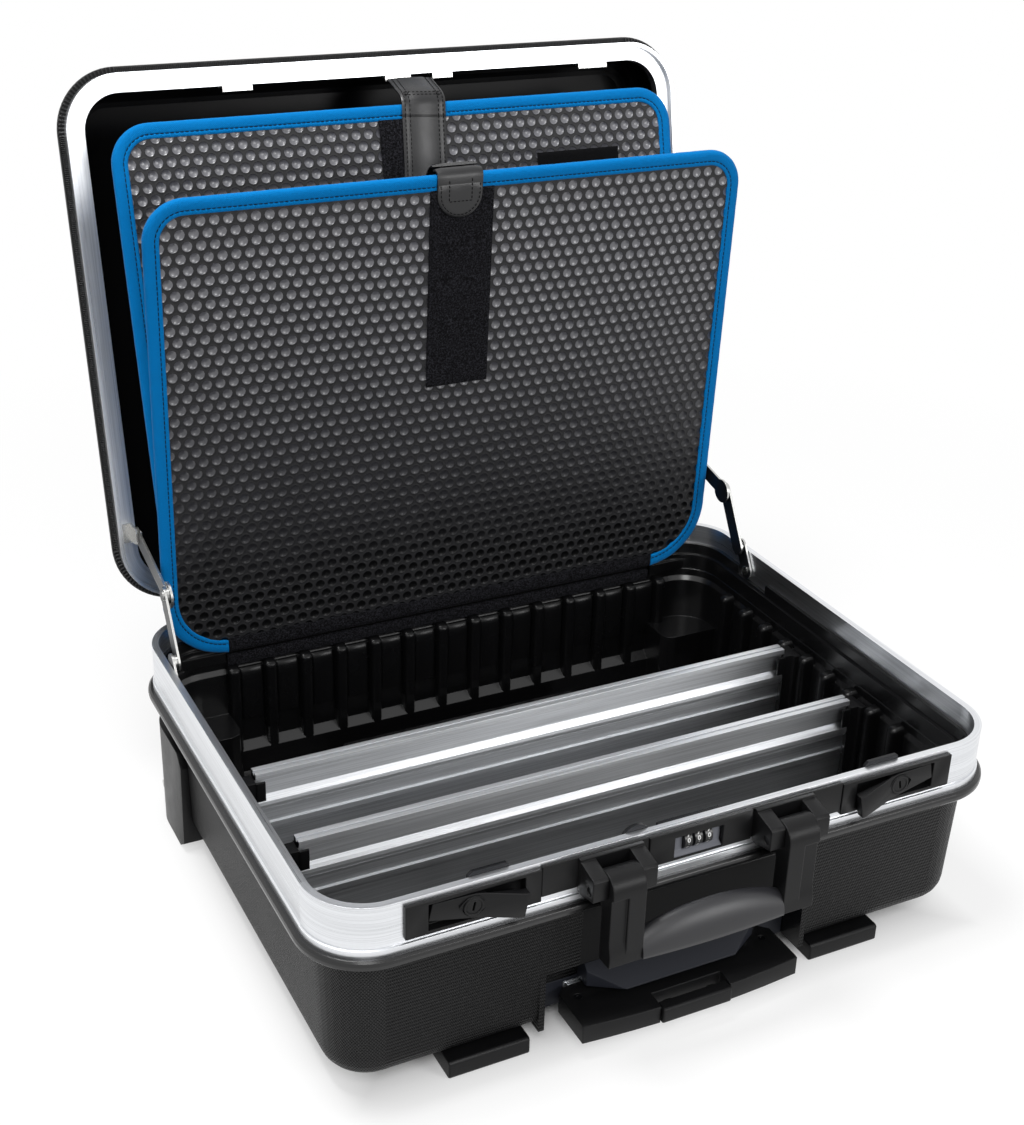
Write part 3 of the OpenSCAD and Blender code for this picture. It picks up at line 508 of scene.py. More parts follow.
def new_piece(name, shape, finish, body, slot, *replaces, smooth=True, angle=40.0):
    """A closed mesh piece of vertices and faces that rides on a body and may stand for CAD nodes."""
    verts, faces = shape
    mesh = bpy.data.meshes.new(name)
    mesh.from_pydata([tuple(v) for v in verts], [], faces)
    work = bmesh.new()
    work.from_mesh(mesh)
    bmesh.ops.remove_doubles(work, verts=work.verts, dist=SAME_SPOT)
    bmesh.ops.recalc_face_normals(work, faces=work.faces)
    work.to_mesh(mesh)
    work.free()
    mesh.materials.append(MATS[finish])
    obj = add_object(name, mesh)
    mesh.polygons.foreach_set("use_smooth", [smooth] * len(mesh.polygons))
    if smooth:
        mesh.set_sharp_from_angle(angle=math.radians(angle))
    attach(obj, body)
    if replaces:
        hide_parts(*replaces)
    return obj


def tube_faces(rows, n, closed=False):
    """Faces between rows of n points: capped at both ends, or closed into a ring."""
    faces = []
    for i in range(rows if closed else rows - 1):
        j = (i + 1) % rows
        for k in range(n):
            m = (k + 1) % n
            faces.append((i * n + k, i * n + m, j * n + m, j * n + k))
    if not closed:
        faces.append(tuple(range(n)))
        faces.append(tuple((rows - 1) * n + k for k in range(n)))
    return faces


def sweep(frames, section, closed=False):
    """Vertices and faces of a closed section carried along frames of (origin, u, v)."""
    verts = [origin + u * a + v * b for origin, u, v in frames for a, b in section]
    return verts, tube_faces(len(frames), len(section), closed)


def join(parts):
    """One list of vertices and faces from several."""
    verts, faces = [], []
    for v, f in parts:
        base = len(verts)
        verts += list(v)
        faces += [tuple(i + base for i in face) for face in f]
    return verts, faces


def stitch(centre, along, out, size, radius):
    """One stitch: a short thread that dips into the material at both ends."""
    side = along.cross(out).normalized()
    frames = []
    for t, lift, r in ((-0.5, -0.9, 0.5), (-0.3, 0.1, 1.0), (0.3, 0.1, 1.0), (0.5, -0.9, 0.5)):
        frames.append((centre + along * (size * t) + out * (radius * lift), side * (radius * r), out * (radius * r)))
    section = [(math.cos(a), math.sin(a)) for a in (math.pi * k / 3 for k in range(6))]
    return sweep(frames, section)


def sew(points, outs, spacing=1.0, share=0.8):
    """Stitches along a run of points; their spacing and length are shares of the stitch pitch."""
    s = sizes()
    pitch, size = s.stitch_pitch * spacing, s.stitch_pitch * share
    parts = []
    left = pitch / 2
    for start, end, out in zip(points, points[1:], outs):
        span = (end - start).length
        if span < 1e-9:
            continue
        along = (end - start) / span
        while left <= span:
            parts.append(stitch(start + along * left, along, out, size, s.thread_radius))
            left += pitch
        left -= span
    return join(parts)


# Tool boards


class Board:
    """Place and outline of a tool board, in metres."""

    top_r, foot_r = 28.0 * MM, 50.0 * MM

    def __init__(self, width, height, foot, lean):
        self.w, self.h = width * MM, height * MM
        self.foot = at(0, *foot)
        a = math.radians(90 - lean)
        self.up = Vector((0, math.cos(a), math.sin(a)))
        self.out = Vector((0, -math.sin(a), math.cos(a)))

    def point(self, x, h, n):
        return self.foot + Vector((x, 0, 0)) + self.up * h + self.out * n

    def outline(self, step=4 * MM):
        """Points round the board from the foot's right end, anticlockwise, with outward normals."""
        e, high, t, b = self.w / 2, self.h, self.top_r, self.foot_r
        out = []

        def arc(cx, ch, r, a0):
            n = 14
            for k in range(n + 1):
                a = math.radians(a0 + 90 * k / n)
                out.append((cx + r * math.cos(a), ch + r * math.sin(a), math.cos(a), math.sin(a)))

        def line(x0, h0, x1, h1, nx, nh):
            n = max(2, int(math.hypot(x1 - x0, h1 - h0) / step))
            for k in range(1, n):
                out.append((x0 + (x1 - x0) * k / n, h0 + (h1 - h0) * k / n, nx, nh))

        arc(e - b, b, b, -90)
        line(e, b, e, high - t, 1, 0)
        arc(e - t, high - t, t, 0)
        line(e - t, high, t - e, high, 0, 1)
        arc(t - e, high - t, t, 90)
        line(-e, high - t, -e, b, -1, 0)
        arc(b - e, b, b, 180)
        line(b - e, 0.0, e - b, 0.0, 0, -1)
        return out

    def clamp(self, x, h, inset):
        """The point, brought inside the outline."""
        e, low, high = self.w / 2 - inset, inset, self.h - inset
        x, h = max(-e, min(e, x)), max(low, min(high, h))
        for r, upper in ((self.top_r - inset, True), (self.foot_r - inset, False)):
            ch = high - r if upper else low + r
            if abs(x) > e - r and (h > ch if upper else h < ch):
                cx = math.copysign(e - r, x)
                d = math.hypot(x - cx, h - ch)
                if d > r:
                    x, h = cx + (x - cx) * r / d, ch + (h - ch) * r / d
        return x, h


FRONT_BOARD = Board(450.6, 341.6, (358.4, -28.2), -2.5)
REAR_BOARD = Board(437.0, 337.0, (363.4, 12.4), 13.5)

# Half section of a dish: share of its radius, share of its depth
DISH = ((0.18, 1.0), (0.24, 0.94), (0.45, 0.85), (0.66, 0.64), (0.82, 0.38), (0.93, 0.12), (1.0, -0.06),
        (1.1, -0.04), (1.16, 0.02))
SPOKES = 12


def dimpled_sheet(board, inset, face, back):
    """The board's covering: a sheet of round dishes on a triangular grid, closed behind."""
    pitch, radius, depth = sizes().dimple_pitch, sizes().dimple_radius, sizes().dimple_depth
    row = pitch * 0.8660254
    rings = [(radius * k, radius * k, depth * down) for k, down in DISH] + [(pitch / 2, pitch / math.sqrt(3), 0.0)]
    mesh = bmesh.new()
    cols = int(board.w / pitch / 2) + 2
    for j in range(int(board.h / row) + 2):
        for i in range(-cols, cols + 1):
            cx, ch = (i + 0.5 * (j % 2)) * pitch, (j + 0.3) * row
            x, h = board.clamp(cx, ch, inset - 4 * MM)
            if abs(x - cx) + abs(h - ch) > 1e-9:
                continue
            centre = mesh.verts.new(board.point(cx, ch, face - depth * 0.97))
            ring = None
            for even, odd, down in rings:
                points = []
                for s in range(SPOKES):
                    a, r = math.tau * s / SPOKES, odd if s % 2 else even
                    x, h = board.clamp(cx + r * math.cos(a), ch + r * math.sin(a), inset)
                    points.append(mesh.verts.new(board.point(x, h, face - down)))
                for s in range(SPOKES):
                    t = (s + 1) % SPOKES
                    outer = points[s], points[t]
                    mesh.faces.new((ring[s], *outer, ring[t]) if ring else (centre, *outer))
                ring = points
    bmesh.ops.remove_doubles(mesh, verts=mesh.verts, dist=0.03 * MM)
    bmesh.ops.dissolve_degenerate(mesh, edges=mesh.edges, dist=0.01 * MM)
    edges = [e for e in mesh.edges if e.is_boundary]
    for v in bmesh.ops.extrude_edge_only(mesh, edges=edges)["geom"]:
        if isinstance(v, bmesh.types.BMVert):
            v.co -= board.out * (face - back)
    bmesh.ops.holes_fill(mesh, edges=[e for e in mesh.edges if e.is_boundary])
    mesh.verts.ensure_lookup_table()
    mesh.verts.index_update()
    verts = [v.co.copy() for v in mesh.verts]
    faces = [tuple(v.index for v in f.verts) for f in mesh.faces]
    mesh.free()
    return verts, faces


# Half section of the tape round a board: millimetres in from the edge, and out from the middle
BINDING_SIDE = ((10.7, 1.0), (10.7, 2.5), (10.3, 2.85), (8.8, 3.0), (8.1, 2.85), (7.7, 2.5), (7.3, 2.85),
                (6.5, 3.02), (4.4, 3.12), (2.3, 2.95), (0.9, 2.3), (0.2, 1.3))
# The seam: how far in from the edge, and out from the board's middle
SEAM_IN, SEAM_OUT = 7.7 * MM, 2.8 * MM


def bound_edge(board, tag, gap):
    """The tape folded over the board's edge and sewn through; gap leaves the foot open."""
    path = board.outline()
    if gap:
        kept = [p for p in path if not (p[1] < 1e-6 and abs(p[0]) < gap)]
        path = [(gap, 0.0, 0, -1)] + kept + [(-gap, 0.0, 0, -1)]
    frames, seam = [], []
    for i, (x, h, nx, nh) in enumerate(path):
        normal = Vector((nx, 0, 0)) + board.up * nh
        wave = 0.12 * math.sin(i * 1.7) * math.sin(i * 0.31)
        frames.append((board.point(x, h, 0) + normal * (wave * 0.4 * MM), -normal, board.out * (1 + wave * 0.25)))
        seam.append(board.point(x - nx * SEAM_IN, h - nh * SEAM_IN, SEAM_OUT))
    front = [(s * MM, n * MM) for s, n in BINDING_SIDE]
    section = front + [(0.0, 0.0)] + [(s, -n) for s, n in reversed(front)]
    body, name = "board_" + tag, "board_" + tag + "_binding"
    new_piece(name, sweep(frames, section, closed=not gap), "binding", body, "blue_binding", "binding_" + tag, angle=60)
    if not gap:
        seam.append(seam[0])
    behind = [p - board.out * (2 * SEAM_OUT) for p in seam]
    thread = join([sew(seam, [board.out] * len(seam)), sew(behind, [-board.out] * len(seam))])
    new_piece(name + "_stitches", thread, "thread", body, "black_webbing")


def soft_slab(board, box, n0, n1, cell, ruffle):
    """A flat tape on the board, in millimetres: rounded edges and a slightly uneven face."""
    x0, x1, h0, h1, n0, n1, cell, ruffle = (v * MM for v in (*box, n0, n1, cell, ruffle))
    nx = max(2, round((x1 - x0) / cell))
    nh = max(2, round((h1 - h0) / cell))
    grid, back = [], []
    for j in range(nh + 1):
        for i in range(nx + 1):
            x, h = x0 + (x1 - x0) * i / nx, h0 + (h1 - h0) * j / nh
            inside = min(i, nx - i, j, nh - j) > 0
            wave = ruffle * (math.sin(i * 2.3 + j * 1.1) + math.sin(j * 1.9 - i * 0.7)) * 0.5
            side = 0.0 if inside else ruffle * 0.6 * math.sin(j * 1.3 + i)
            grid.append(board.point(x + side, h, n1 + wave if inside else n1 - (n1 - n0) * 0.35))
            back.append(board.point(x + side, h, n0))
    base, row = len(grid), nx + 1
    faces = []
    for j in range(nh):
        for i in range(nx):
            a, b, c, d = j * row + i, j * row + i + 1, (j + 1) * row + i + 1, (j + 1) * row + i
            faces += [(a, b, c, d), (base + a, base + d, base + c, base + b)]
    rim = list(range(row)) + [j * row + nx for j in range(1, nh + 1)]
    rim += [nh * row + i for i in range(nx - 1, -1, -1)] + [j * row for j in range(nh - 1, 0, -1)]
    faces += [(a, base + a, base + b, b) for a, b in zip(rim, rim[1:] + rim[:1])]
    return grid + back, faces


# The covering's edge, under the binding, half its thickness, and the heights between which the dishes lie
COVER_INSET, COVER_HALF = 6.5 * MM, 2.3 * MM
DISH_REACH = (0.4 * MM, 2.2 * MM)


def dress_board(board, tag, tape, gap=0):
    """Covering, binding and loop tape of one board."""
    body = "board_" + tag
    sheet = dimpled_sheet(board, COVER_INSET, COVER_HALF, -COVER_HALF)
    cover = new_piece(body + "_covering", sheet, "vinyl", body, "board", body)
    cover.data.materials.append(MATS["dish"])
    for face in cover.data.polygons:
        away = (face.center - board.foot).dot(board.out)
        face.material_index = int(DISH_REACH[0] < away < DISH_REACH[1])
    bound_edge(board, tag, gap * MM)
    new_piece(body + "_loop_tape", soft_slab(board, tape, 2.1, 3.5, 3.0, 0.12), "loop", body, "black_webbing")


class CASE_OT_front_board(bpy.types.Operator):
    """Front tool board: dimpled covering, bound edge, loop tape and the fabric at its foot"""

    bl_idname = "case.front_board"
    bl_label = "Front Board"

    def execute(self, context):
        b = FRONT_BOARD
        dress_board(b, "front", (-26, 22, 188, 331.5), gap=179)
        side = [(12.5, 1.2), (12.3, 2.9), (10.5, 3.1), (4.5, 3.25), (1.4, 2.9), (0.3, 1.5), (0.2, 0)]
        section = side + [(h, -n) for h, n in reversed(side[:-1])]
        frames = []
        for k in range(91):
            x = (-178.4 + 356.8 * k / 90) * MM
            ruffle = 1 + 0.035 * math.sin(k * 1.9) + 0.03 * math.sin(k * 0.63)
            frames.append((b.point(x, 0, 0), b.up * (MM * ruffle), b.out * MM))
        new_piece("board_front_foot_tape", sweep(frames, section), "loop", "board_front", "black_webbing",
                  "webbing_front", angle=70)
        return {"FINISHED"}


class CASE_OT_rear_board(bpy.types.Operator):
    """Rear tool board with its loop tape, elastic band and fabric hinge"""

    bl_idname = "case.rear_board"
    bl_label = "Rear Board"

    def execute(self, context):
        b = REAR_BOARD
        dress_board(b, "rear", (-24, 26, 185, 327))
        band = soft_slab(b, (101, 170, 284, 295), 2.2, 3.9, 1.6, 0.05)
        new_piece("board_rear_elastic", band, "elastic", "board_rear", "black_webbing")
        low, high = at(0, 364, -3), b.foot
        side = [low.lerp(high, t / 6) for t in range(7)]
        section = [(p.y - 0.6 * MM, p.z) for p in side] + [(p.y + 0.6 * MM, p.z) for p in reversed(side)]
        verts = []
        for k in range(61):
            x = (-178.5 + 357 * k / 60) * MM
            wave = 0.25 * MM * math.sin(k * 0.9)
            verts += [(x, y + wave * math.sin(math.pi * (z - low.z) / (high.z - low.z)), z) for y, z in section]
        new_piece("board_rear_hinge_fabric", (verts, tube_faces(61, len(section))), "cloth", "board_rear",
                  "black_webbing", "webbing_rear", angle=70)
        return {"FINISHED"}


class CASE_OT_hinge_fabric(bpy.types.Operator):
    """Fabric strip that hinges the front board to the base"""

    bl_idname = "case.hinge_fabric"
    bl_label = "Hinge Fabric"

    def execute(self, context):
        low, tall, half, count = -41.5, 9.6, 179, 90
        path = ((359.6, low), (358.9, -38.5), (358.6, -35), (359.4, -32.6), (360.6, -31.9))
        back = ((361.3, -31.9), (361.3, -35), (361.3, -38.5), (361.3, low))
        verts = []
        for k in range(count + 1):
            x = -half + 2 * half * k / count
            for y, z in path:
                bow = 0.3 * math.sin(k * 0.8 + z) * math.sin((z - low) / tall * math.pi)
                verts.append(at(x, y + bow, z))
            verts += [at(x, y, z) for y, z in back]
        strip = ((364.5, -14), (364.5, -4.2), (365.2, -3.95), (366.6, -3.95), (366.6, -14))
        ends = [at(x, y, z) for x in (-half, half) for y, z in strip]
        both = join([(verts, tube_faces(count + 1, len(path) + len(back))), (ends, tube_faces(2, len(strip)))])
        new_piece("hinge_fabric_strips", both, "loop", "base", "black_webbing", "hinge_fabric", angle=60)
        return {"FINISHED"}


# Strap

# Along the strap in millimetres: depth, height and the middle of its width
STRAP_LINE = (
    (468, 352.6, 14), (462, 351.2, 13.6), (455, 349.8, 13), (448, 348.4, 12.4), (442.5, 346.4, 12),
    (438.2, 342.6, 11.6), (435.8, 335, 11), (433.1, 324.7, 10.3), (428.5, 305.2, 9.4), (424.2, 288, 8.2),
    (417, 272.5, 6), (406, 265.5, 3),
    (394, 268.5, 0), (381, 281, -2), (369, 297, -3.6), (359.5, 310.5, -4.3), (354, 316.4, -4.5), (349.5, 318.2, -4.5),
)
# Across the strap: shares of its half width and of its thickness
STRAP_SECTION = (
    (-1.0, -0.5), (-1.0, -0.15), (-0.94, 0.12), (-0.80, 0.2), (-0.62, 0.2), (-0.56, 0.42), (0.56, 0.42),
    (0.62, 0.2), (0.80, 0.2), (0.94, 0.12), (1.0, -0.15), (1.0, -0.5), (0.9, -0.6), (-0.9, -0.6),
)
# Points of the smoothed line where the doubled end stops, and where its two lengths meet
STRAP_FOLD, STRAP_JOIN = 20, 31


def strap_frames(line, half, thick):
    """Frames for a flat strap along a line, thicker where its end is doubled."""
    frames = []
    for i, p in enumerate(line):
        along = (line[min(i + 1, len(line) - 1)] - line[max(i - 1, 0)]).normalized()
        side = (Vector((1, 0, 0)) - along * along.x).normalized()
        up = along.cross(side).normalized()
        layers = 1.4 if i <= STRAP_FOLD else 1.0
        frames.append((p, side * half, up * (thick * layers)))
    return frames


def smooth_line(points, parts=5):
    """Points on a smooth curve through the given ones."""
    out = []
    for i in range(len(points) - 1):
        p = [points[max(i - 1, 0)], points[i], points[i + 1], points[min(i + 2, len(points) - 1)]]
        for k in range(parts):
            t = k / parts
            out.append(tuple(
                0.5 * (2 * b + (c - a) * t + (2 * a - 5 * b + 4 * c - d) * t * t + (3 * b - a - 3 * c + d) * t ** 3)
                for a, b, c, d in zip(*p)
            ))
    out.append(points[-1])
    return out


class CASE_OT_strap(bpy.types.Operator):
    """Leather strap from the lid to the front board, and its rounded tab"""

    bl_idname = "case.strap"
    bl_label = "Strap"

    def execute(self, context):
        half = sizes().strap_width / 2
        line = [at(x, y, z) for y, z, x in smooth_line(STRAP_LINE)]
        frames = strap_frames(line, half, 2.0 * MM)
        for piece in self.run("strap", frames[:STRAP_JOIN + 2], "lid"):
            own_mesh(piece)
        for piece in self.run("strap_fall", frames[STRAP_JOIN:], "board_rear"):
            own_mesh(piece)
        self.tab(FRONT_BOARD, half)
        return {"FINISHED"}

    def run(self, name, frames, body):
        """One length of the strap with its seams, on the body that carries it."""
        leather = new_piece(name + "_leather", sweep(frames, STRAP_SECTION), "leather", body, "black_webbing", "strap",
                            angle=50)
        lines = []
        for share in (-0.87, -0.66, 0.66, 0.87):
            lines.append(([o + u * share + v * 0.24 for o, u, v in frames], [v.normalized() for o, u, v in frames]))
        if body == "lid":
            for near in (-1, 1):
                o, u, v = frames[STRAP_FOLD + near]
                lines.append(([o + u * (-0.85 + 1.7 * k / 8) + v * 0.42 for k in range(9)], [v.normalized()] * 9))
        rows = join([sew(seam, outs, 0.9, 0.62) for seam, outs in lines])
        return leather, new_piece(name + "_stitches", rows, "thread", body, "black_webbing")

    def tab(self, b, half):
        """The strap's end on the front board: a rounded lobe, and the part folded over the board's top."""
        x0, low, top, fold = -4.5 * MM, 328.5 * MM, b.h + 1.1 * MM, b.h - 6 * MM
        turns = [math.radians(a) for a in range(0, 181, 9)]
        rim = [(x0 + half * math.cos(a), low - half * math.sin(a)) for a in turns]
        rim = [(x0 + half, fold), *rim, (x0 - half, fold)]
        middle = low + 6 * MM
        rings = ((1.0, 3.05), (1.0, 4.3), (0.985, 4.75), (0.93, 5.1), (0.8, 5.2), (0.4, 5.35))
        lobe = [b.point(x0 + (x - x0) * k, middle + (h - middle) * k, n * MM) for k, n in rings for x, h in rim]
        beyond = top + 0.9 * MM
        over = [(fold, 3.3), (b.h - 2 * MM, 3.3), (top, 2.6), (beyond, 0.8), (beyond, -2.2), (top, -4.0)]
        columns = 9
        strip = []
        for i, (h, n) in enumerate(over):
            (ha, na), (hc, nc) = over[max(i - 1, 0)], over[min(i + 1, len(over) - 1)]
            tangent = (b.up * (hc - ha) + b.out * ((nc - na) * MM)).normalized()
            normal = Vector((1, 0, 0)).cross(tangent)
            if normal.dot(b.up * 0.6 + b.out) < 0:
                normal = -normal
            if i >= 3:
                normal = b.up if i < 5 else (b.up - b.out * 0.6).normalized()
            inner = b.point(x0, h, n * MM)
            for u in range(columns):
                lift = 1.9 * MM if 0 < u < columns - 1 else 1.2 * MM
                strip.append(inner + Vector((half * (-1 + 2 * u / (columns - 1)), 0, 0)) + normal * lift)
            strip += [inner + Vector((half, 0, 0)), inner - Vector((half, 0, 0))]
        both = join([(lobe, tube_faces(len(rings), len(rim))), (strip, tube_faces(len(over), columns + 2))])
        new_piece("strap_tab_leather", both, "leather", "board_front", "black_webbing", "strap_tab", angle=50)
        seam = [b.point(x0 + (x - x0) * 0.86, low + (h - low) * 0.86 if h < low else h, 5.3 * MM) for x, h in rim]
        side, up, down, height = 8.5 * MM, low + 10 * MM, low - 5 * MM, 5.45 * MM
        box = [(x0 - side, up), (x0 - side, down), (x0 + side, down), (x0 + side, up)]
        cross = []
        for (xa, ha), (xb, hb) in zip(box, box[1:]):
            cross += [b.point(xa + (xb - xa) * t / 8, ha + (hb - ha) * t / 8, height) for t in range(8)]
        cross.append(b.point(*box[-1], height))
        rows = join([sew(line, [b.out] * len(line), 0.85, 0.6) for line in (seam, cross)])
        new_piece("strap_tab_stitches", rows, "thread", "board_front", "black_webbing")


# Finishes of the CAD pieces


class CASE_OT_finishes(bpy.types.Operator):
    """Makes the finishes that the pieces share"""

    bl_idname = "case.finishes"
    bl_label = "Finishes"

    def execute(self, context):
        c = colours()
        MATS.update(
            grain=grained_abs("abs_moulded_base", "base_shell", 0.0, -42, 0.5),
            lid_grain=grained_abs("abs_moulded_lid", "lid_shell", LID_TURN, 900, 0.04),
            lock=lock_abs(),
            grip=soft_grip(),
            trolley=polyamide("polyamide_dark", c.trolley, 0.42),
            housing=polyamide("polyamide_grey", c.housing, 0.48),
            band=anodised("aluminium_band", outline_lines(0.0)),
            ring=anodised("aluminium_ring", outline_lines(LID_TURN)),
            rail=anodised("aluminium_rail", straight_lines(0), 0.35, 0.07, (1, 0, 0)),
            tube=anodised("aluminium_tube", straight_lines(1)),
            zinc=zinc_steel(),
            black_steel=black_steel(),
            stay=stay_steel(),
            window=polyamide("abs_grey", c.window, 0.4),
            rubber=tyre_rubber(),
            dial=dial_black(),
            ink=filled_white(),
            vinyl=board_vinyl(),
            dish=dish_vinyl(),
            plain=polyamide("abs_moulded_plain", c.shell, 0.26),
            binding=woven("polyester_tape", c.binding, 1.3, 0.08),
            elastic=woven("elastic_braid", c.webbing, 1.4, 0.05),
            cloth=woven("polyester_cloth", c.webbing, 0.8, 0.04),
            loop=loop_tape(),
            leather=strap_leather(),
            thread=thread_black(),
        )
        return {"FINISHED"}


class CASE_OT_shells(bpy.types.Operator):
    """Moulded base, lid, feet and wheel housings"""

    bl_idname = "case.shells"
    bl_label = "Shells"

    def execute(self, context):
        set_material("grain", "base_shell")
        set_material("lid_grain", "lid_shell")
        return set_material("lock", "feet", "wheel_housings", bevel=1.2)


class CASE_OT_ribs(bpy.types.Operator):
    """Rounded faces of the ribs and pockets moulded inside the base"""

    bl_idname = "case.ribs"
    bl_label = "Ribs"

    def execute(self, context):
        side_pitch, middle, side_wall = 27.4, 211.3, 228.1
        rear_pitch, shift, rear_wall = 28.1, -7.5, 360.0
        parts = []
        for side in (-1, 1):
            for k in range(-4, 5):
                y = middle + (k - 0.5) * side_pitch
                parts.append(self.rib(lambda u, v, w: at(side * (side_wall - v), y + u, w), 10.0))
        for k in range(-6, 8):
            parts.append(self.rib(lambda u, v, w: at(k * rear_pitch + shift + u, rear_wall - v, w), 8.4))
        parts += [self.pocket((k + 0.5) * rear_pitch + shift) for k in range(-6, 7)]
        new_piece("base_rib_faces", join(parts), "plain", "base", "black_plastic", angle=50)
        return {"FINISHED"}

    def rib(self, spot, deep):
        """A round-nosed rib with a domed top."""
        section = ((-5.05, 0), (-4.75, 0.4), (-4.15, 0.8), (-3.3, 0.93), (-1.8, 0.99), (0, 1.0),
                   (1.8, 0.99), (3.3, 0.93), (4.15, 0.8), (4.75, 0.4), (5.05, 0))
        levels = ((-96, 1, 1), (-46, 1, 1), (-44.4, 1, 1), (-43, 0.97, 0.93), (-41.9, 0.88, 0.78), (-41.1, 0.72, 0.55),
                  (-40.7, 0.45, 0.3), (-40.6, 0.1, 0.05))
        verts = [spot(u * a, v * deep * b, w) for w, a, b in levels for u, v in section]
        return verts, tube_faces(len(levels), len(section))

    def pocket(self, x):
        """The wall between two rear ribs: a soft-edged panel that rounds over at its top."""
        across = ((-9.0, 0), (-8.7, 0.5), (-8.0, 0.85), (-7.0, 1), (0, 1), (7.0, 1), (8.0, 0.85), (8.7, 0.5), (9.0, 0))
        levels = ((-88, 1), (-54, 1), (-50, 0.96), (-47.5, 0.82), (-45.6, 0.58), (-44.6, 0.3), (-44.2, 0))
        verts = []
        for w, g in levels:
            verts += [at(x + u, 359.6 - 3.4 * f * g, w) for u, f in across]
            verts += [at(x + 9.0, 360.3, w), at(x - 9.0, 360.3, w)]
        return verts, tube_faces(len(levels), len(across) + 2)


class CASE_OT_frames(bpy.types.Operator):
    """Aluminium bands of base and lid"""

    bl_idname = "case.frames"
    bl_label = "Frames"

    def execute(self, context):
        set_material("band", "base_frame")
        return set_material("ring", "lid_frame")


class CASE_OT_dividers(bpy.types.Operator):
    """Divider rails and their end clips"""

    bl_idname = "case.dividers"
    bl_label = "Dividers"

    def execute(self, context):
        set_material("rail", "divider_front", "divider_rear")
        return set_material("lock", "clips_front", "clips_rear", bevel=0.6)


class CASE_OT_hinges(bpy.types.Operator):
    """Hinges, lid stays and strikes"""

    bl_idname = "case.hinges"
    bl_label = "Hinges and Stays"

    def execute(self, context):
        set_material("zinc", "hinge_base", "hinge_lid", "hinge_pins", "strikes", "stay_pins", "stay_brackets")
        return set_material("stay", "stay_lower_left", "stay_lower_right", "stay_upper_left", "stay_upper_right")


class CASE_OT_locks(bpy.types.Operator):
    """Latches, hooks and combination lock"""

    bl_idname = "case.locks"
    bl_label = "Locks"

    def execute(self, context):
        set_material("lock", "latch_plates", "lever_left", "lever_right", "lock_plate", bevel=0.4)
        set_material("black_steel", "hook_left", "hook_right", "lock_cam", "lock_cover")
        set_material("lock", "key_left", "key_right")
        set_material("zinc", "dial_axle")
        set_material("window", "lock_window", bevel=0.3)
        for dial in ("dial_1", "dial_2", "dial_3"):
            set_material("dial", dial)
            self.digits(dial)
        for side, turned in (("left", 1), ("right", -1)):
            self.eye("key_surround_" + side, "key_" + side, "lever_" + side, turned)
        return {"FINISHED"}

    def eye(self, name, key, body, turned):
        """The raised pointed ring round one key barrel, on the lever's face."""
        low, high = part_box(key)
        middle = (low + high) / 2
        front = low.y - 0.1 * MM
        back = front + 1.4 * MM
        long, tall, thick = 9.4 * MM, 7.0 * MM, 0.55 * MM
        turn = Matrix.Rotation(math.radians(11.5) * turned, 3, "Y")
        rim = []
        for half in (1, -1):
            for k in range(20):
                t = 1 - k / 10
                rim.append((half * long * t, half * tall * (1 - abs(t) ** 2.2)))
        inside = 1 - thick / tall
        rings = ((1.0, back), (1.0, front), (inside, front), (inside, back))
        verts = [Vector((middle.x, y, middle.z)) + turn @ Vector((x * k, 0, z * k)) for k, y in rings for x, z in rim]
        new_piece(name, (verts, tube_faces(4, len(rim), closed=True)), "lock", body, "lock_plastic", angle=50)

    def digits(self, dial):
        """The figures 0 to 9 round one number wheel."""
        low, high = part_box(dial)
        middle = (low + high) / 2
        radius = (high.z - low.z) / 2
        parts = []
        for d in range(10):
            curve = bpy.data.curves.new("figure", "FONT")
            curve.body = str(d)
            curve.size = 3.9 * MM
            curve.offset = 0.12 * MM
            curve.align_x = curve.align_y = "CENTER"
            curve.extrude = 0.06 * MM
            curve.resolution_u = 3
            obj = add_object("figure", curve)
            bpy.context.view_layer.update()
            mesh = obj.to_mesh()
            turn = Matrix.Rotation(math.radians(36 * d - 14), 4, "X")
            stand = Matrix.Rotation(math.radians(90), 4, "X")
            verts = []
            for v in mesh.vertices:
                p = stand @ v.co
                ang = p.z / radius
                flat = Vector((p.x * 1.2, -(radius + 0.02 * MM - p.y) * math.cos(ang), radius * math.sin(ang)))
                verts.append(middle + turn @ flat)
            parts.append((verts, [tuple(f.vertices) for f in mesh.polygons]))
            obj.to_mesh_clear()
            bpy.data.objects.remove(obj)
            bpy.data.curves.remove(curve)
        new_piece(dial + "_figures", join(parts), "ink", dial, "white_plastic", smooth=False)


# The handle's arms in millimetres: middle, half width and foot
ARM_X, ARM_HALF, ARM_FOOT = 61.5, 11.3, -70.0


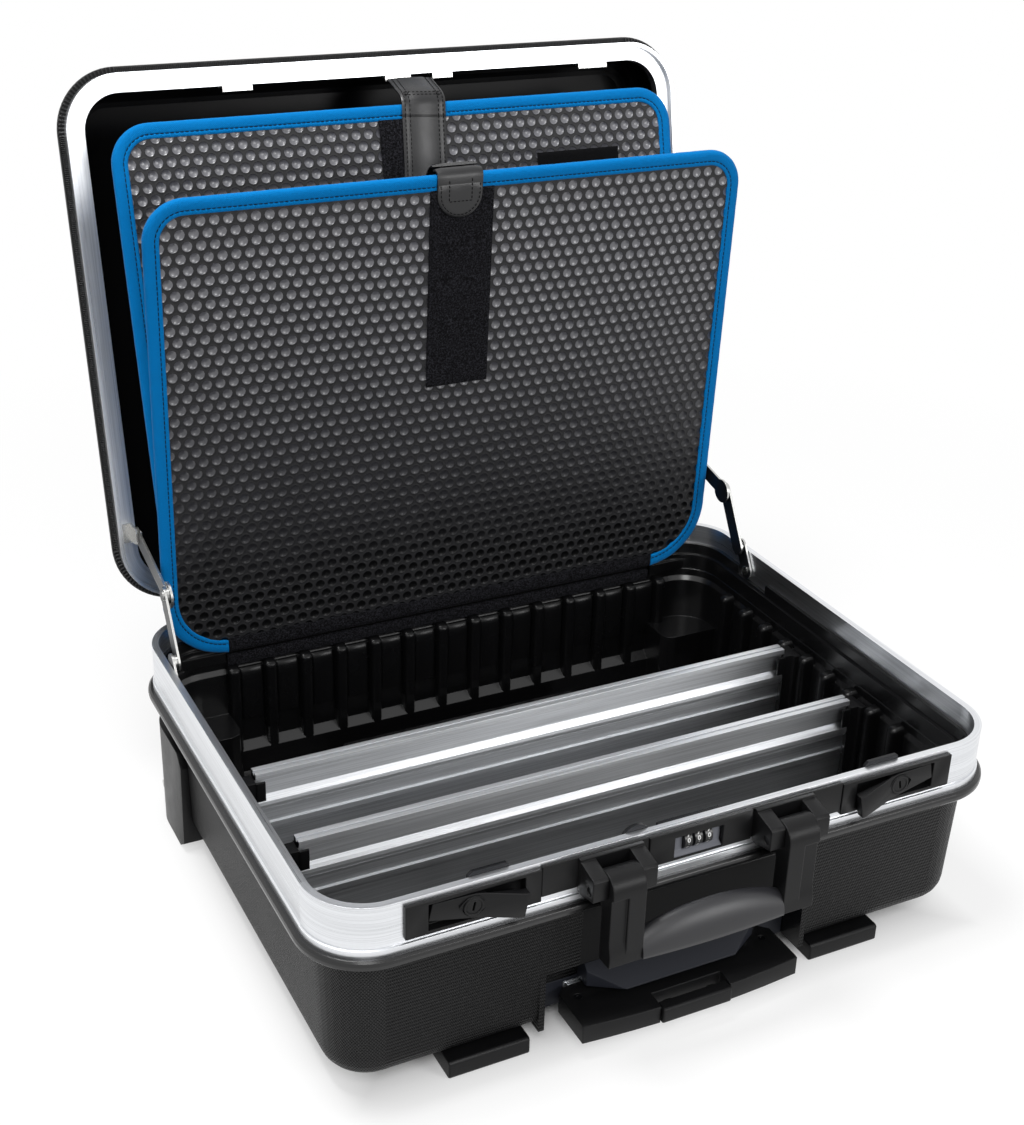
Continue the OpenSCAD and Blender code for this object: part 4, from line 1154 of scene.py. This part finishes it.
class CASE_OT_handle(bpy.types.Operator):
    """Carrying handle: arms with a recessed panel and a soft arched grip"""

    bl_idname = "case.handle"
    bl_label = "Handle"

    def execute(self, context):
        set_material("lock", "handle_brackets", bevel=0.8)
        set_material("black_steel", "handle_pins")
        arms = new_piece("handle_arms_moulded", join([self.arm(-1), self.arm(1)]), "lock", "handle", "lock_plastic",
                         "handle_arms", angle=35)
        round_edges(arms, 1.0, 50)
        new_piece("handle_grip_soft", self.grip(), "grip", "handle", "grip_rubber", "handle_grip", angle=60)
        return {"FINISHED"}

    def arm(self, side):
        """One arm: round about its pin, flat below, with a panel sunk in its front and open to the outside."""
        y, z, r = -16.5, -17.0, 11.0
        face = y - r
        turns = [math.radians(180 - 15 * k) for k in range(1, 15)]
        plain = [(face, z), *((y + r * math.cos(a), z + r * math.sin(a)) for a in turns), (y + 2, z - 16),
                 (y + 2, ARM_FOOT + 1), (y + 1, ARM_FOOT), (face + 1.5, ARM_FOOT), (face, ARM_FOOT + 1.5)]
        front = ((8.5, 0), (12, 0.9), (17, 2.0), (-21.5 - ARM_FOOT, 2.0), (-20.5 - ARM_FOOT, 0))
        sunk = plain + [(face + deep, ARM_FOOT + h) for h, deep in front]
        plain += [(face, ARM_FOOT + h) for h, _ in front]
        inner, middle, outer = (side * (ARM_X + d) for d in (-ARM_HALF, 0.5, ARM_HALF))
        n = len(plain)
        rings = [(inner, plain), (middle, plain), (middle, sunk), (outer, sunk)]
        verts = [at(x, *p) for x, line in rings for p in line]
        faces = []
        for face in tube_faces(4, n):
            step = len(face) == 4 and min(face) // n == 1
            if not step or any(plain[k % n] != sunk[k % n] for k in face):
                faces.append(face)
        return verts, faces

    def grip(self):
        """The grip between the arms: a soft section that grows towards the middle."""
        half = ARM_X - ARM_HALF
        floor = ARM_FOOT + 1.5
        line = ((-30.4, 0), (-31.2, 0.8), (-31.3, 4), (-31.0, 8), (-30.2, 12), (-28.8, 16), (-26.6, 19.8),
                (-24.0, 22.6), (-21.4, 24.2), (-19.2, 24.4), (-17.3, 23.0), (-16.3, 20), (-16.0, 15), (-16.0, 8),
                (-16.2, 1.5), (-17.2, 0))
        count = 48
        verts = []
        for k in range(count + 1):
            t = -1 + 2 * k / count
            arch = 1 - 0.40 * abs(t) ** 2.2
            bulge = 1 - 0.16 * t * t
            verts += [at(half * t * 1.005, -17 + (y + 17) * bulge, floor + z * arch) for y, z in line]
        return verts, tube_faces(count + 1, len(line))


class CASE_OT_trolley(bpy.types.Operator):
    """Pull-out trolley"""

    bl_idname = "case.trolley"
    bl_label = "Trolley"

    def execute(self, context):
        set_material("housing", "trolley_housing")
        set_material("trolley", "trolley_grip", bevel=1.8)
        set_material("trolley", "trolley_button", bevel=0.9)
        set_material("black_steel", "trolley_screws")
        return set_material("tube", "tubes_outer", "tubes_middle", "tubes_inner")


class CASE_OT_wheels(bpy.types.Operator):
    """Wheels, tyres and axles"""

    bl_idname = "case.wheels"
    bl_label = "Wheels"

    def execute(self, context):
        set_material("trolley", "wheel_left", "wheel_right", bevel=0.5)
        set_material("rubber", "tyre_left", "tyre_right")
        return set_material("zinc", "wheel_axles")


# Stage

# Name, place, aim, size in metres and power in watts
LAMPS = (
    ("key_light", (-0.8, -1.85, 2.1), (0, 0, 0.2), 0.9, 19),
    ("top_light", (-0.45, 0.02, 1.95), (0, 0, 0.25), 0.6, 27),
    ("fill_light", (1.05, -2.1, 0.95), (0, 0, 0.35), 0.8, 17),
)
FLOOR_HALF = 6.0
# Half sizes of the patch under the case that never glows, and how far in front of the middle it lies
SHADE_HALF, SHADE_FRONT = (0.19, 0.15), 0.058
# The camera's azimuth, height angle and roll in degrees, its place in millimetres and its lens
CAMERA_TURN = (-27.26, 26.30, -1.72)
CAMERA_SPOT = (-496.82, -709.28, 592.57)
CAMERA_LENS = 60.17


def background_rays(tree):
    """1 for the rays that see the backdrop itself: camera, transmission and glossy ones."""
    path = add(tree, "ShaderNodeLightPath").outputs
    seen = math_node(tree, "MAXIMUM", path["Is Camera Ray"], path["Is Transmission Ray"])
    return math_node(tree, "MAXIMUM", seen, path["Is Glossy Ray"])


class CASE_OT_stage(bpy.types.Operator):
    """Pale floor, soft studio light and camera"""

    bl_idname = "case.stage"
    bl_label = "Stage"

    def execute(self, context):
        scene = context.scene
        scene.view_settings.view_transform = "Standard"
        self.floor()
        self.world(scene)
        for lamp in LAMPS:
            self.lamp(*lamp)
        self.camera(scene)
        return {"FINISHED"}

    def floor(self):
        """A white sheet that glows like the backdrop away from the case and takes its shadow near it."""
        mesh = bpy.data.meshes.new("floor")
        s = FLOOR_HALF
        mesh.from_pydata([(-s, -s, 0), (s, -s, 0), (s, s, 0), (-s, s, 0)], [], [(0, 1, 2, 3)])
        obj = add_object("floor", mesh)
        mat, tree, bsdf = new_material("paper_white", "#ffffff", 0.0, Roughness=0.9)
        seen = background_rays(tree)
        glow = add(tree, "ShaderNodeEmission", {"Strength": 1.0})
        coords = add(tree, "ShaderNodeTexCoord").outputs["Object"]
        reach = add(tree, "ShaderNodeVectorMath", {0: coords}, operation="LENGTH").outputs["Value"]
        fade = remap(tree, reach, 0.75, 1.0, 0.35, 1.1)
        spot = axes(tree)
        depth = math_node(tree, "ADD", spot["Y"], SHADE_FRONT)
        edges = []
        for value, half in zip((spot["X"], depth), SHADE_HALF):
            edges.append(math_node(tree, "SUBTRACT", math_node(tree, "ABSOLUTE", value), half))
        clear = remap(tree, math_node(tree, "MAXIMUM", *edges), 0.0, 1.0, 0.0, 0.05)
        grey = remap(tree, seen, 0.4, 1.0)
        tone = add(tree, "ShaderNodeCombineXYZ", {"X": grey, "Y": grey, "Z": grey})
        tree.links.new(tone.outputs[0], bsdf.inputs["Base Color"])
        share = product(tree, seen, fade, clear)
        mix = add(tree, "ShaderNodeMixShader", {"Fac": share, 1: bsdf.outputs[0], 2: glow.outputs[0]})
        out = next(n for n in tree.nodes if n.type == "OUTPUT_MATERIAL")
        tree.links.new(mix.outputs[0], out.inputs["Surface"])
        mesh.materials.append(mat)

    def world(self, scene):
        world = bpy.data.worlds.new("studio")
        scene.world = world
        world.use_nodes = True
        tree = world.node_tree
        back = tree.nodes["Background"]
        back.inputs["Color"].default_value = (1, 1, 1, 1)
        tree.links.new(remap(tree, background_rays(tree), 0.35, 1.0), back.inputs["Strength"])

    def lamp(self, name, spot, aim, size, power):
        light = bpy.data.lights.new(name, "AREA")
        light.shape = "SQUARE"
        light.size = size
        light.energy = power
        obj = add_object(name, light)
        obj.location = spot
        obj.rotation_euler = (Vector(aim) - Vector(spot)).to_track_quat("-Z", "Y").to_euler()

    def camera(self, scene):
        azimuth, elevation, roll = (math.radians(a) for a in CAMERA_TURN)
        level = math.cos(elevation)
        back = Vector((math.sin(azimuth) * level, -math.cos(azimuth) * level, math.sin(elevation)))
        right = (-back).cross(Vector((0, 0, 1))).normalized()
        down = (-back).cross(right)
        across = right * math.cos(roll) + down * math.sin(roll)
        below = -right * math.sin(roll) + down * math.cos(roll)
        turn = Matrix((across, -below, back)).transposed().to_4x4()
        data = bpy.data.cameras.new("camera")
        data.sensor_fit = "HORIZONTAL"
        data.sensor_width = 36.0
        data.lens = CAMERA_LENS
        obj = add_object("camera", data)
        obj.matrix_world = Matrix.Translation(at(*CAMERA_SPOT)) @ turn
        scene.camera = obj


OPERATORS = (
    CASE_OT_finishes, CASE_OT_shells, CASE_OT_ribs, CASE_OT_frames, CASE_OT_dividers, CASE_OT_hinges, CASE_OT_locks,
    CASE_OT_handle, CASE_OT_trolley, CASE_OT_wheels, CASE_OT_front_board, CASE_OT_rear_board,
    CASE_OT_hinge_fabric, CASE_OT_strap, CASE_OT_stage,
)


class CASE_PT_panel(bpy.types.Panel):
    """Lists the pieces of the tool case"""

    bl_idname = "CASE_PT_panel"
    bl_label = "Tool Case"
    bl_space_type = "VIEW_3D"
    bl_region_type = "UI"
    bl_category = "Tool Case"

    def draw(self, context):
        for group in (context.scene.case_sizes, context.scene.case_colours):
            box = self.layout.box()
            for key in group.__annotations__:
                box.prop(group, key)
        for operator in OPERATORS:
            self.layout.operator(operator.bl_idname)


CLASSES = (CaseSizes, CaseColours, *OPERATORS, CASE_PT_panel)


def register():
    for cls in CLASSES:
        bpy.utils.register_class(cls)
    bpy.types.Scene.case_sizes = bpy.props.PointerProperty(type=CaseSizes)
    bpy.types.Scene.case_colours = bpy.props.PointerProperty(type=CaseColours)


def unregister():
    del bpy.types.Scene.case_colours
    del bpy.types.Scene.case_sizes
    for cls in reversed(CLASSES):
        bpy.utils.unregister_class(cls)


def main():
    register()
    for operator in OPERATORS:
        group, name = operator.bl_idname.split(".")
        getattr(getattr(bpy.ops, group), name)()


if __name__ == "__main__":
    main()
